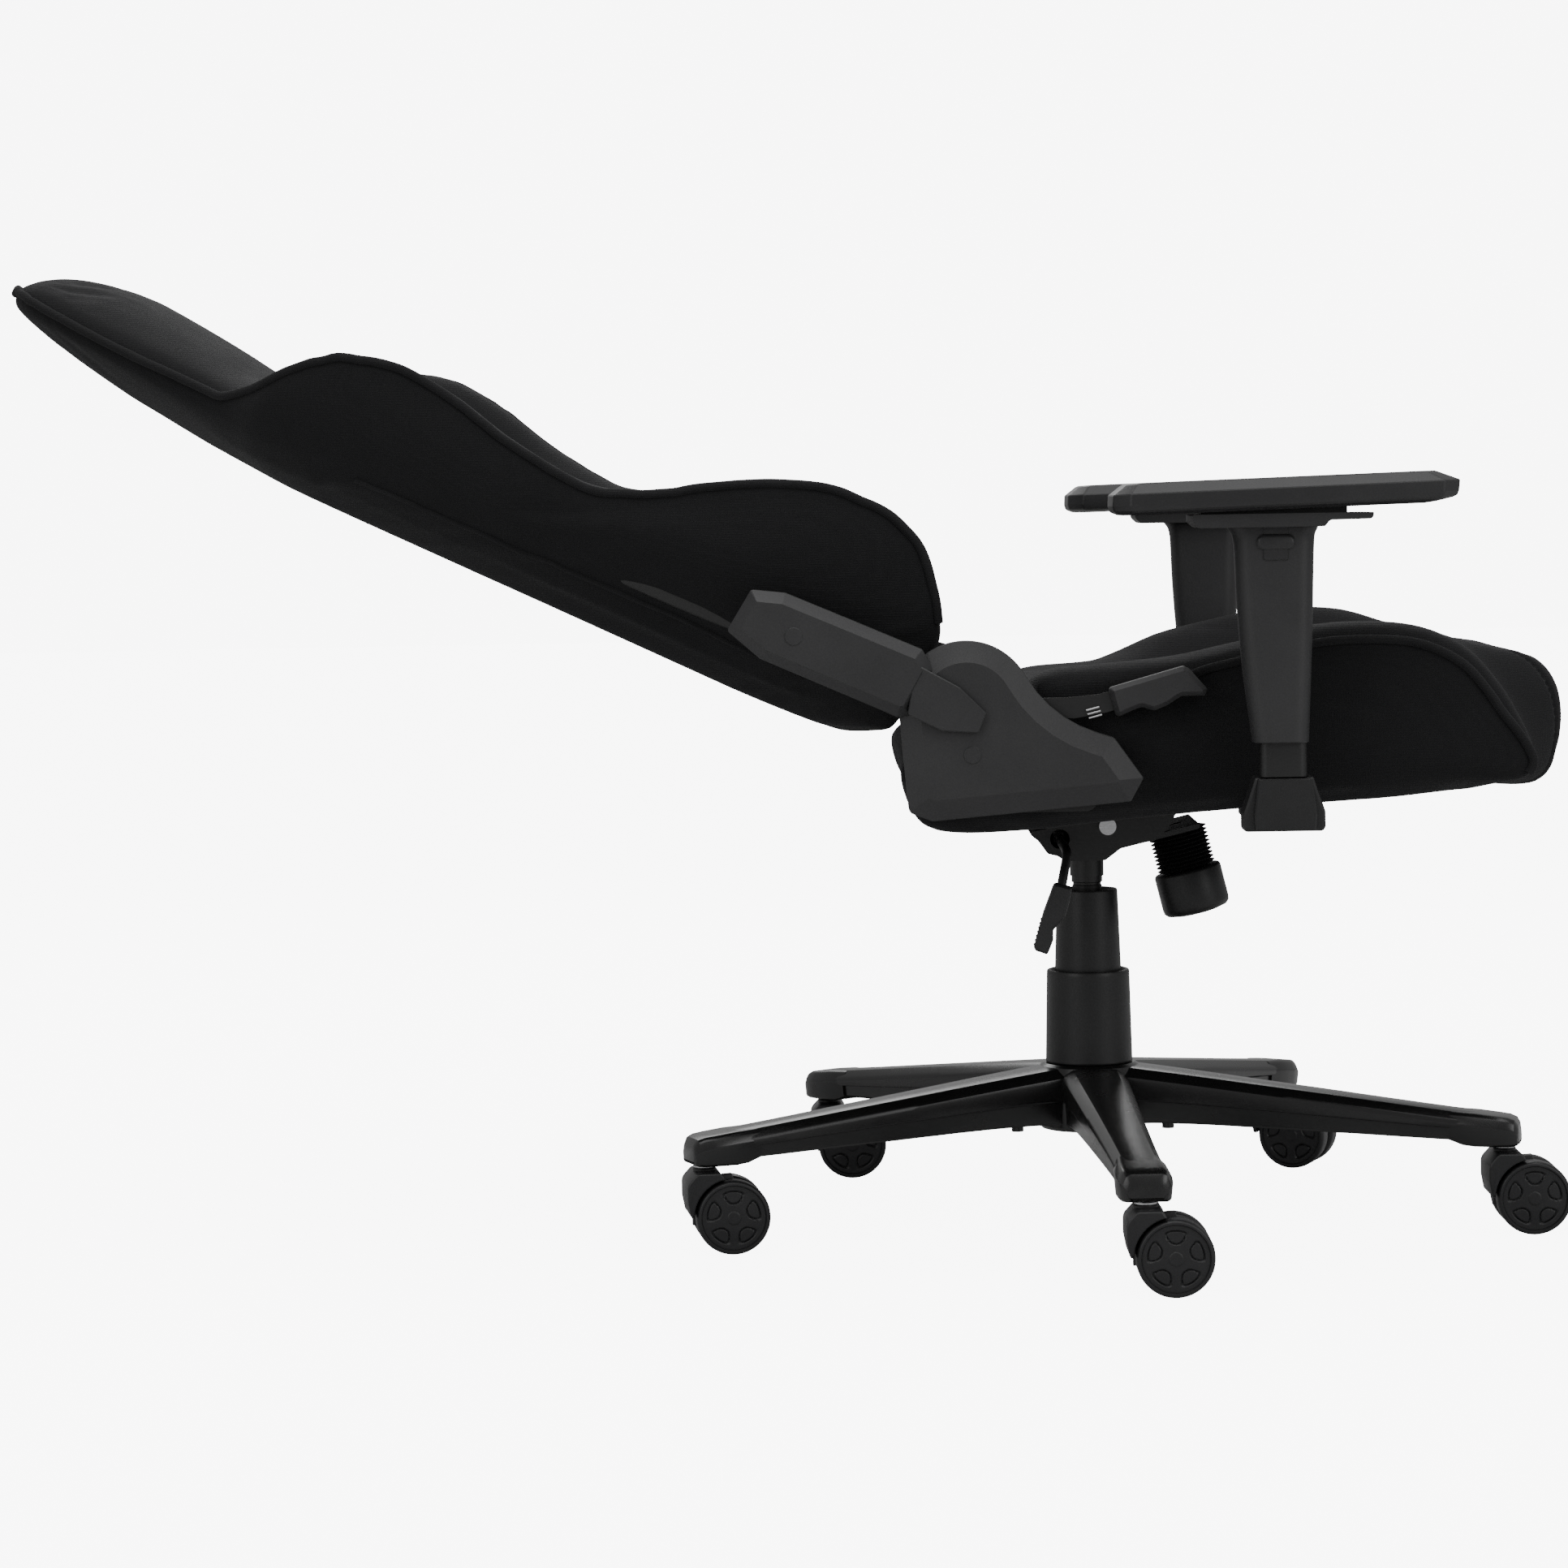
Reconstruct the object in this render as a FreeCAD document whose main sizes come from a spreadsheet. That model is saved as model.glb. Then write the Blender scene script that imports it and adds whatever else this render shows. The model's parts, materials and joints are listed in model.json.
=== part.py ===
# Gaming chair, reclined, gas lift at its lowest.
# Frame: origin on the floor under the lift axis, +Z up, the sitter faces -Y and the sitter's left is +X.
import FreeCAD, Part
import math
import os
from FreeCAD import Placement, Rotation, Vector

DIMS = [
    # base star
    ("leg_count", 5),
    ("first_leg_angle", 183.6),
    ("stem_circle", 343),
    ("leg_reach", 356),
    ("leg_width", 56),
    ("hub_radius", 42),
    ("hub_bottom", 80),
    ("hub_top", 134),
    ("socket_top", 89),
    # castors
    ("wheel_radius", 30),
    ("wheel_width", 19.5),
    ("wheel_gap", 5.5),
    ("castor_trail", 21),
    ("axle_radius", 4),
    ("stem_radius", 5.5),
    ("hood_width", 50),
    ("web_width", 9),
    ("running_gap", 0.05),
    # gas lift
    ("tube_radius", 22),
    ("tube_top", 262),
    ("cylinder_radius", 13.5),
    ("neck_radius", 11.25),
    ("rod_radius", 5),
    ("lower_cover_foot_radius", 36),
    ("lower_cover_top_radius", 34.3),
    ("lower_cover_bore", 29.3),
    ("lower_cover_top", 211),
    ("upper_cover_radius", 27.6),
    ("upper_cover_top_radius", 25),
    ("upper_cover_bore", 23.5),
    ("upper_cover_top", 278),
    # tilt mechanism
    ("tilt_pivot_y", -14),
    ("tilt_pivot_z", 334),
    ("tilt_bolt_radius", 6),
    ("housing_inner", 54),
    ("housing_wall", 4),
    ("ear_inner", 44),
    ("ear_thick", 6),
    ("flange_inner", 60),
    ("flange_thick", 3),
    ("plate_width", 170),
    ("knob_tilt", 13.7),
    ("knob_radius", 28),
    ("knob_length", 38),
    ("spring_radius", 24),
    ("spring_length", 34),
    ("lever_y", 25),
    ("lever_z", 324),
    ("lever_rod_radius", 4),
    ("paddle_inner", 110),
    ("paddle_thick", 16),
    # recliner
    ("pivot_y", 107),
    ("pivot_z", 443),
    ("back_angle", 25.3),
    ("pin_radius", 8),
    ("frame_tube_radius", 11),
    ("frame_tube_wall", 1.5),
    ("upper_plate_inner", 264),
    ("lower_plate_inner", 268),
    ("plate_thick", 3),
    ("bolt_radius", 4),
    ("bolt_head_radius", 7),
    ("side_cover_inner", 272),
    ("side_cover_thick", 21),
    ("side_cover_cavity", 18),
    ("side_cover_wall", 3),
    ("hinge_disc_radius", 52),
    ("left_disc_radius", 27),
    ("lip_inner", 294),
    ("lip_thick", 8),
    ("lever_inner", 274),
    ("lever_thick", 3),
    ("grip_inner", 269),
    ("grip_thick", 14),
    # cushions
    ("centre_width", 350),
    ("wing_inner", 175),
    ("seat_wing_width", 80),
    ("back_wing_width", 87),
    # arm rests
    ("arm_centre", 309),
    ("sleeve_inner", 293),
    ("sleeve_thick", 32),
    ("post_inner", 301),
    ("post_thick", 16),
    ("bore_inner", 300.5),
    ("bore_thick", 17),
    ("arm_pad_width", 88),
    ("arm_plate_width", 62),
    ("rail_width", 40),
    ("pad_pivot_radius", 8),
    ("button_inner", 321.5),
    ("button_thick", 6.5),
    ("button_well_inner", 318),
    ("button_well_depth", 8),
]

doc = FreeCAD.newDocument("gaming_chair")
sheet = doc.addObject("Spreadsheet::Sheet", "dims")
for row, (alias, value) in enumerate(DIMS, start=1):
    sheet.set(f"A{row}", alias)
    sheet.set(f"B{row}", str(value))
    sheet.setAlias(f"B{row}", alias)
doc.recompute()

RIGHT = -1
LEFT = 1
SIDES = [("right", RIGHT), ("left", LEFT)]
TO_X = Rotation(Vector(0, 1, 0), 90)
nodes = {}


def dim(alias):
    return float(sheet.get(alias))


def node(name, thing):
    """Registers a finished sub-part under its node name."""
    thing.Label = name
    nodes[name] = thing
    return thing


# ---- outlines: closed loops of (y, z, corner radius) corners --------------------------------

def flat(corner):
    return Vector(corner[0], corner[1], 0)


def inset_corners(corners, inset):
    """Moves every side of an outline inwards by inset."""
    area = sum(a[0] * b[1] - b[0] * a[1] for a, b in zip(corners, corners[1:] + corners[:1]))
    turn = math.copysign(1, area)
    moved = []
    for i, corner in enumerate(corners):
        into = (flat(corner) - flat(corners[i - 1])).normalize()
        out = (flat(corners[(i + 1) % len(corners)]) - flat(corner)).normalize()
        left_in = Vector(-into.y, into.x, 0) * turn
        left_out = Vector(-out.y, out.x, 0) * turn
        shift = (left_in + left_out) * (inset / (1 + left_in.dot(left_out)))
        convex = (into.x * out.y - into.y * out.x) * turn > 0
        radius = max(corner[2] - inset, 0.5) if convex else corner[2] + inset
        place = flat(corner) + shift
        moved.append((place.x, place.y, radius))
    return moved


def rounded(corners):
    """Sketch lines and arcs of an outline with rounded corners."""
    joins = []
    for i, corner in enumerate(corners):
        here = flat(corner)
        into = (here - flat(corners[i - 1])).normalize()
        out = (flat(corners[(i + 1) % len(corners)]) - here).normalize()
        half_turn = into.getAngle(out) / 2
        reach = corner[2] * math.tan(half_turn)
        bisector = (out - into).normalize()
        middle = here + bisector * (corner[2] / math.cos(half_turn) - corner[2])
        joins.append((here - into * reach, middle, here + out * reach))
    edges = []
    for i, (start, middle, end) in enumerate(joins):
        if corners[i][2] > 0:
            edges.append(Part.Arc(start, middle, end))
        edges.append(Part.LineSegment(end, joins[(i + 1) % len(joins)][0]))
    return edges


def circle(y, z, radius):
    return [Part.Circle(Vector(y, z, 0), Vector(0, 0, 1), radius)]


def link(y_a, z_a, radius_a, y_b, z_b, radius_b):
    """Outline of a bar that wraps two circles."""
    centre_a = Vector(y_a, z_a, 0)
    centre_b = Vector(y_b, z_b, 0)
    along = (centre_b - centre_a).normalize()
    across = Vector(-along.y, along.x, 0)
    lean = math.asin((radius_a - radius_b) / (centre_b - centre_a).Length)
    up = along * math.sin(lean) + across * math.cos(lean)
    down = along * math.sin(lean) - across * math.cos(lean)
    return [
        Part.LineSegment(centre_a + up * radius_a, centre_b + up * radius_b),
        Part.Arc(centre_b + up * radius_b, centre_b + along * radius_b, centre_b + down * radius_b),
        Part.LineSegment(centre_b + down * radius_b, centre_a + down * radius_a),
        Part.Arc(centre_a + down * radius_a, centre_a - along * radius_a, centre_a + up * radius_a),
    ]


# ---- PartDesign and Part helpers ------------------------------------------------------------

def new_body(name):
    return doc.addObject("PartDesign::Body", name)


def sketch_on(body, name, role, edges):
    plane = [feature for feature in body.Origin.OriginFeatures if feature.Role == role][0]
    sketch = body.newObject("Sketcher::SketchObject", name)
    sketch.AttachmentSupport = [(plane, "")]
    sketch.MapMode = "FlatFace"
    sketch.addGeometry(edges, False)
    return sketch


def slab(body, name, edges, inner, thick, side, cut=False):
    """Adds or cuts a slab with a YZ outline, from dims.inner outwards by dims.thick on one side."""
    sketch = sketch_on(body, name + "_outline", "YZ_Plane", edges)
    sketch.setExpression("AttachmentOffset.Base.z", f"{side} * dims.{inner}")
    feature = body.newObject("PartDesign::Pocket" if cut else "PartDesign::Pad", name)
    feature.Profile = sketch
    feature.setExpression("Length", f"dims.{thick}")
    feature.Reversed = (side == RIGHT) != cut
    feature.Refine = False
    return feature


def middle_slab(body, name, edges, width, role="YZ_Plane", cut=False):
    """Adds or cuts a slab with an outline centred on the body's own plane."""
    feature = body.newObject("PartDesign::Pocket" if cut else "PartDesign::Pad", name)
    feature.Profile = sketch_on(body, name + "_outline", role, edges)
    feature.Midplane = True
    feature.Refine = False
    feature.setExpression("Length", width if width[0].isdigit() else f"dims.{width}")
    return feature


def cylinder(name, radius, height, start, turn=Rotation()):
    """A cylinder whose radius and height are sheet expressions, from a start point along turned +Z."""
    solid = doc.addObject("Part::Cylinder", name)
    solid.setExpression("Radius", radius)
    solid.setExpression("Height", height)
    solid.Placement = Placement(Vector(*start), turn)
    return solid


def cone(name, foot_radius, top_radius, height, start):
    solid = doc.addObject("Part::Cone", name)
    solid.setExpression("Radius1", foot_radius)
    solid.setExpression("Radius2", top_radius)
    solid.setExpression("Height", height)
    solid.Placement = Placement(Vector(*start), Rotation())
    return solid


def block(name, sizes, start):
    """A box from its low corner, with its three sizes as sheet expressions."""
    solid = doc.addObject("Part::Box", name)
    for side, size in zip(("Length", "Width", "Height"), sizes):
        solid.setExpression(side, size)
    solid.Placement = Placement(Vector(*start), Rotation())
    return solid


def fuse(name, pieces):
    joined = doc.addObject("Part::MultiFuse", name)
    joined.Shapes = pieces
    return joined


def group(name, pieces):
    """Separate solids kept in one node."""
    together = doc.addObject("Part::Compound", name)
    together.Links = pieces
    return together


def cut(name, base, tool):
    rest = doc.addObject("Part::Cut", name)
    rest.Base = base
    rest.Tool = tool
    return rest


def back_point(along, front):
    """The (y, z) place of a point on the backrest, from the hinge along the back and to its front."""
    angle = math.radians(dim("back_angle"))
    y = dim("pivot_y") + along * math.cos(angle) - front * math.sin(angle)
    z = dim("pivot_z") + along * math.sin(angle) + front * math.cos(angle)
    return y, z


# ---- base star ------------------------------------------------------------------------------

LEG_PROFILE = [
    (20, 84, 0), (20, 134, 0), (44, 131.5, 20), (318, 98.5, 60), (340, 96, 6), (356, 94, 4), (356, 71, 3),
    (322, 71, 4), (300, 76, 10), (60, 86, 30),
]
LEG_SHAVE = [
    (46, 27, 0), (200, 21.5, 60), (312, 19.5, 10), (326, 22, 6), (357, 22, 0), (357, 29, 0), (46, 29, 0),
]


def make_base_star():
    body = new_body("star_body")
    leg = middle_slab(body, "leg", rounded(LEG_PROFILE), "leg_width", role="XZ_Plane")
    shaves = rounded(LEG_SHAVE) + rounded([(x, -y, r) for x, y, r in LEG_SHAVE])
    shave = middle_slab(body, "leg_shave", shaves, "leg_reach", role="XY_Plane", cut=True)
    socket = body.newObject("PartDesign::Pocket", "socket")
    mouth = circle(dim("stem_circle"), 0, dim("stem_radius") + dim("running_gap"))
    socket.Profile = sketch_on(body, "socket_outline", "XY_Plane", mouth)
    socket.Reversed = True
    socket.setExpression("Length", "dims.socket_top")
    doc.recompute()
    star = body.newObject("PartDesign::PolarPattern", "legs")
    star.Originals = [leg, shave, socket]
    star.Axis = (leg.Profile[0], ["V_Axis"])
    star.Angle = 360
    star.setExpression("Occurrences", "dims.leg_count")
    body.Tip = star
    doc.recompute()
    hub = cylinder("hub", "dims.hub_radius", "dims.hub_top - dims.hub_bottom", (0, 0, dim("hub_bottom")))
    bore = cylinder("hub_bore", "dims.tube_radius", "dims.hub_top * 2", (0, 0, 0))
    whole = cut("star", fuse("star_and_hub", [body, hub]), bore)
    whole.Placement = Placement(Vector(), Rotation(Vector(0, 0, 1), dim("first_leg_angle")))
    node("base_star", whole)


make_base_star()


# ---- castors --------------------------------------------------------------------------------

HOOD = [(15, 28, 3), (16, 44, 10), (16, 58, 9), (8, 67, 6), (-12, 67, 3), (-14, 58, 0), (6, 28, 0)]
WEB = [(10, 20, 3), (10, 58, 6), (-24, 64, 6), (-32, 40, 8), (-28, 22, 8)]
STEM_FOOT = 62
COLLAR_RADIUS = 9
HOOD_GAP = 2
TREAD_ROUND = 3
DISH_DEPTH = 3
CASTOR_TURNS = [0, 0, -22, 0, 8]


def castor_place(index):
    angle = math.radians(dim("first_leg_angle") + 360 / dim("leg_count") * index)
    spot = Vector(math.cos(angle), math.sin(angle), 0) * dim("stem_circle")
    return Placement(spot, Rotation(Vector(0, 0, 1), CASTOR_TURNS[index]))


def make_fork(index):
    tag = f"castor_{index + 1}"
    trail = -dim("castor_trail")
    axle_height = dim("wheel_radius")
    body = new_body(tag + "_hood_body")
    middle_slab(body, tag + "_hood", rounded(HOOD), "hood_width")
    opening = circle(trail, axle_height, dim("wheel_radius") + HOOD_GAP)
    middle_slab(body, tag + "_hood_space", opening, "hood_width * 2", cut=True)
    web = new_body(tag + "_web_body")
    middle_slab(web, tag + "_web", rounded(WEB), "web_width")
    stem = cylinder(tag + "_stem", "dims.stem_radius", f"dims.socket_top - 0.5 - {STEM_FOOT}",
                    (0, 0, STEM_FOOT))
    collar = cylinder(tag + "_collar", f"{COLLAR_RADIUS}", "8", (0, 0, STEM_FOOT))
    axle_start = (-dim("wheel_gap") - dim("wheel_width") + 1, trail, axle_height)
    axle = cylinder(tag + "_axle", "dims.axle_radius", "2 * (dims.wheel_gap + dims.wheel_width - 1)",
                    axle_start, TO_X)
    fork = fuse(tag + "_fork_all", [body, web, stem, collar, axle])
    fork.Placement = castor_place(index)
    return node(tag + "_fork", fork)


def make_wheel(index, name, side):
    tag = f"castor_{index + 1}_{name}"
    width = dim("wheel_width")
    low_x = dim("wheel_gap") if side > 0 else -dim("wheel_gap") - width
    outer_x = dim("wheel_gap") + width
    centre = (-dim("castor_trail"), dim("wheel_radius"))
    tread = cylinder(tag + "_tread", "dims.wheel_radius", "dims.wheel_width", (low_x, *centre), TO_X)
    rounded_tread = doc.addObject("Part::Fillet", tag + "_rounded")
    rounded_tread.Base = tread
    doc.recompute()
    rims = [i + 1 for i, edge in enumerate(tread.Shape.Edges) if edge.Closed]
    rounded_tread.Edges = [(rim, TREAD_ROUND, TREAD_ROUND) for rim in rims]
    bore_start = (low_x - 1, *centre)
    bore = cylinder(tag + "_bore", "dims.axle_radius + dims.running_gap", "dims.wheel_width + 2",
                    bore_start, TO_X)
    dish_x = outer_x - DISH_DEPTH if side > 0 else -outer_x - 1
    dish_length = f"{DISH_DEPTH + 1}"
    dish = cylinder(tag + "_dish", "dims.wheel_radius * 0.82", dish_length, (dish_x, *centre), TO_X)
    boss = cylinder(tag + "_boss", "dims.wheel_radius * 0.3", dish_length, (dish_x, *centre), TO_X)
    ring = cut(tag + "_ring", dish, boss)
    wheel = cut(tag + "_wheel", rounded_tread, fuse(tag + "_hollows", [bore, ring]))
    wheel.Placement = castor_place(index)
    return node(tag, wheel)


for castor in range(int(dim("leg_count"))):
    make_fork(castor)
    make_wheel(castor, "wheel_a", -1)
    make_wheel(castor, "wheel_b", 1)


# ---- gas lift -------------------------------------------------------------------------------

TUBE_FOOT = 78
BEARING_FOOT = 86
BEARING_TOP = 91
CYLINDER_FOOT = 96
CYLINDER_SHOULDER = 270
NECK_TOP = 325
PISTON_FOOT = 184
PISTON_TOP = 194
COVER_FOOT = 136


def make_lift():
    tube = cylinder("tube_wall", "dims.tube_radius", f"dims.tube_top - {TUBE_FOOT}", (0, 0, TUBE_FOOT))
    guide = cylinder("tube_guide", "dims.cylinder_radius + dims.running_gap", "dims.tube_top",
                     (0, 0, BEARING_TOP))
    seat = cylinder("bearing_seat", "12", f"{BEARING_TOP - BEARING_FOOT}", (0, 0, BEARING_FOOT))
    drain = cylinder("tube_drain", "dims.rod_radius + 1", "20", (0, 0, TUBE_FOOT - 5))
    node("lift_outer_tube", cut("tube", tube, fuse("tube_hollow", [guide, seat, drain])))

    ring = cylinder("bearing_ring", "12", f"{BEARING_TOP - BEARING_FOOT}", (0, 0, BEARING_FOOT))
    ring_bore = cylinder("bearing_bore", "dims.rod_radius + dims.running_gap", "20", (0, 0, TUBE_FOOT))
    node("lift_bearing", cut("bearing", ring, ring_bore))

    foot = dim("hub_top")
    sleeve = cone("lower_sleeve", "dims.lower_cover_foot_radius", "dims.lower_cover_top_radius",
                  "dims.lower_cover_top - dims.hub_top", (0, 0, foot))
    sleeve_bore = cylinder("lower_sleeve_bore", "dims.lower_cover_bore", "dims.lower_cover_top",
                           (0, 0, foot - 1))
    node("lift_cover_lower", cut("lower_cover", sleeve, sleeve_bore))

    shoulder = dim("lower_cover_top")
    skirt = cylinder("upper_skirt", "dims.upper_cover_radius", f"dims.lower_cover_top - {COVER_FOOT}",
                     (0, 0, COVER_FOOT))
    crown = cone("upper_crown", "dims.upper_cover_radius", "dims.upper_cover_top_radius",
                 "dims.upper_cover_top - dims.lower_cover_top", (0, 0, shoulder))
    inside = cylinder("upper_bore", "dims.upper_cover_bore", f"dims.upper_cover_top - 3 - {COVER_FOOT - 1}",
                      (0, 0, COVER_FOOT - 1))
    lip_hole = cylinder("upper_lip_hole", "dims.neck_radius + 0.2", "dims.upper_cover_top",
                        (0, 0, COVER_FOOT))
    hollow = fuse("upper_hollow", [inside, lip_hole])
    node("lift_cover_upper", cut("upper_cover", fuse("upper_shell", [skirt, crown]), hollow))

    rod = cylinder("rod_shaft", "dims.rod_radius", f"{PISTON_TOP - TUBE_FOOT - 4}", (0, 0, TUBE_FOOT + 4))
    piston = cylinder("rod_piston", "dims.cylinder_radius - 2.5 - dims.running_gap",
                      f"{PISTON_TOP - PISTON_FOOT}",
                      (0, 0, PISTON_FOOT))
    node("lift_rod", fuse("rod", [rod, piston]))

    barrel = cylinder("barrel", "dims.cylinder_radius", f"{CYLINDER_SHOULDER - CYLINDER_FOOT}",
                      (0, 0, CYLINDER_FOOT))
    neck = cylinder("neck", "dims.neck_radius", f"{NECK_TOP - CYLINDER_SHOULDER}",
                    (0, 0, CYLINDER_SHOULDER))
    chamber = cylinder("chamber", "dims.cylinder_radius - 2.5", f"{CYLINDER_SHOULDER - CYLINDER_FOOT - 14}",
                       (0, 0, CYLINDER_FOOT + 6))
    gland = cylinder("gland", "dims.rod_radius + dims.running_gap", "20", (0, 0, CYLINDER_FOOT - 5))
    cavity = fuse("cylinder_hollow", [chamber, gland])
    node("lift_cylinder", cut("cylinder", fuse("cylinder_outside", [barrel, neck]), cavity))


make_lift()


# ---- tilt mechanism -------------------------------------------------------------------------

HOUSING_SIDE = [
    (52, 330, 3), (43, 323, 5), (35, 312, 4), (27, 310, 4), (21, 306, 4), (-12, 306, 4), (-24, 315, 6),
    (-33, 319.5, 6), (-52, 321, 5), (-64, 332, 4), (-72, 347, 3), (-14, 347, 10), (38, 332, 10),
]
HOUSING_FLOOR = [
    (52, 330, 1), (43, 323, 5), (35, 312, 4), (27, 310, 4), (21, 306, 4), (-12, 306, 4), (-24, 315, 6),
    (-54, 322, 5), (-90, 330.8, 3), (-90, 334.8, 1), (-53, 326, 5), (-23, 319.5, 6), (-10, 311, 4),
    (19, 311, 4), (26, 314, 4), (33, 316, 4), (41, 327, 5),
]
COLLAR_FOOT = 289
SOCKET_RADIUS = 14
LEVER_HOLE_RADIUS = 8
LEVER_EYE = (-44.5, 4.8)
LEVER_ELBOW = (-106, 22, 318)
LEVER_TIP = (-118, 29, 284)
EAR = [(-38, 357, 0), (-26, 336, 0), (-2, 336, 0), (14, 352.5, 0)]
SEAT_PLATE = [(68, 344.5, 1), (68, 348.5, 1), (-88, 361.5, 0), (-105, 362, 1), (-105, 358, 1),
              (-88, 357.5, 0)]
BAR_LENGTH = 85.5
BAR_START = -39.5
BAR_SIZE = 8
KNOB_TOP = (-75, 326.8)
PADDLE = [
    (33, 294, 3), (19, 290, 2), (21, 279, 8), (25, 266, 8), (34.6, 256, 3), (34.6, 248, 3), (39.5, 236, 2),
    (50.7, 240, 3), (42, 270.5, 8),
]
FLANGE = [(68, 346, 1), (63, 338, 3), (33, 338, 6), (12, 349, 0)]


def tilt_line(distance):
    """A point on the tension knob's axis, at a distance below its top."""
    lean = math.radians(dim("knob_tilt"))
    return 0, KNOB_TOP[0] - distance * math.sin(lean), KNOB_TOP[1] - distance * math.cos(lean)


def make_housing(bolt, lift_neck):
    walls = []
    for name, side in SIDES:
        wall = new_body(f"housing_wall_{name}")
        slab(wall, f"housing_{name}", rounded(HOUSING_SIDE), "housing_inner", "housing_wall", side)
        walls.append(wall)
    floor = new_body("housing_floor_body")
    middle_slab(floor, "housing_floor", rounded(HOUSING_FLOOR), "housing_inner * 2")
    socket = cylinder("housing_socket", f"{SOCKET_RADIUS + 3}", f"{NECK_TOP - 309}", (0, 0, 309))
    collar = cylinder("housing_collar", f"{SOCKET_RADIUS}", f"{309 - COLLAR_FOOT + 2}", (0, 0, COLLAR_FOOT))
    shell = fuse("housing_shell", walls + [floor, socket, collar])
    lever_hole = cylinder("lever_hole", f"{LEVER_HOLE_RADIUS}", "8",
                          (-dim("housing_inner") - 6, dim("lever_y"), dim("lever_z")), TO_X)
    lean = Rotation(Vector(1, 0, 0), -dim("knob_tilt"))
    knob_hole = cylinder("knob_hole", "5.3", "20", tilt_line(5), lean)
    tools = fuse("housing_tools", [bolt, lift_neck, lever_hole, knob_hole])
    return node("tilt_housing", cut("housing", shell, tools))


def make_mechanism():
    span = dim("housing_inner") + dim("housing_wall")
    pivot = (dim("tilt_pivot_y"), dim("tilt_pivot_z"))
    shank = cylinder("bolt_shank", "dims.tilt_bolt_radius", "2 * (dims.housing_inner + dims.housing_wall)",
                     (-span, *pivot), TO_X)
    heads = [cylinder(f"bolt_head_{name}", "7", "4", (side * span - 2 + side * 2, *pivot), TO_X)
             for name, side in SIDES]
    bolt = node("tilt_pivot_bolt", fuse("bolt", [shank] + heads))
    lift_neck = cylinder("neck_space", "dims.neck_radius", "60", (0, 0, COLLAR_FOOT - 10))
    make_housing(bolt, lift_neck)

    plate = new_body("seat_plate_body")
    middle_slab(plate, "seat_plate_top", rounded(SEAT_PLATE), "plate_width")
    for name, side in SIDES:
        slab(plate, f"flange_{name}", rounded(FLANGE), "flange_inner", "flange_thick", side)
        slab(plate, f"ear_{name}", rounded(EAR), "ear_inner", "ear_thick", side)
        slab(plate, f"ear_eye_{name}", circle(*pivot, 2 * dim("tilt_bolt_radius")), "ear_inner",
             "ear_thick", side)
    bearing = cylinder("ear_bores", "dims.tilt_bolt_radius + dims.running_gap", "200", (-100, *pivot), TO_X)
    node("seat_plate", cut("seat_plate_bored", plate, bearing))

    lean = Rotation(Vector(1, 0, 0), -dim("knob_tilt"))
    spring_end = dim("spring_length")
    spring = cylinder("spring_outside", "dims.spring_radius", "dims.spring_length", tilt_line(spring_end),
                      lean)
    spring_bore = cylinder("spring_bore", "9", "dims.spring_length + 2", tilt_line(spring_end + 1), lean)
    node("tension_spring", cut("spring", spring, spring_bore))
    knob_end = spring_end + 0.5 + dim("knob_length")
    knob = cylinder("knob_grip", "dims.knob_radius", "dims.knob_length", tilt_line(knob_end), lean)
    screw = cylinder("knob_screw", "5", "dims.spring_length + 16", tilt_line(spring_end + 2), lean)
    node("tension_knob", fuse("knob", [knob, screw]))

    half = BAR_SIZE / 2
    bar_start = (BAR_START, dim("lever_y") - half, dim("lever_z") - half)
    node("tilt_lock_bar", block("lock_bar", (f"{BAR_LENGTH}", f"{BAR_SIZE}", f"{BAR_SIZE}"), bar_start))


def make_height_lever():
    eye_x, eye_radius = LEVER_EYE
    root = Vector(eye_x, dim("lever_y"), dim("lever_z"))
    elbow = Vector(*LEVER_ELBOW)
    tip = Vector(*LEVER_TIP)
    eye_start = (eye_x, dim("lever_y") - BAR_SIZE / 2, dim("lever_z"))
    eye = cylinder("lever_eye", f"{eye_radius}", f"{BAR_SIZE}", eye_start, Rotation(Vector(1, 0, 0), -90))
    out_run = cylinder("lever_out", "dims.lever_rod_radius", f"{(elbow - root).Length}", root,
                       Rotation(Vector(0, 0, 1), elbow - root))
    drop = Rotation(Vector(0, 0, 1), tip - elbow)
    down_run = cylinder("lever_down", "dims.lever_rod_radius", f"{(tip - elbow).Length}", elbow, drop)
    ball = doc.addObject("Part::Sphere", "lever_elbow")
    ball.setExpression("Radius", "dims.lever_rod_radius")
    ball.Placement = Placement(elbow, Rotation())
    rod = node("height_lever_rod", fuse("lever_rod", [eye, out_run, down_run, ball]))
    paddle = new_body("paddle_body")
    slab(paddle, "paddle", rounded(PADDLE), "paddle_inner", "paddle_thick", RIGHT)
    node("height_lever_grip", cut("paddle_bored", paddle, rod))


make_mechanism()
make_height_lever()


# ---- seat -----------------------------------------------------------------------------------

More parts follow.
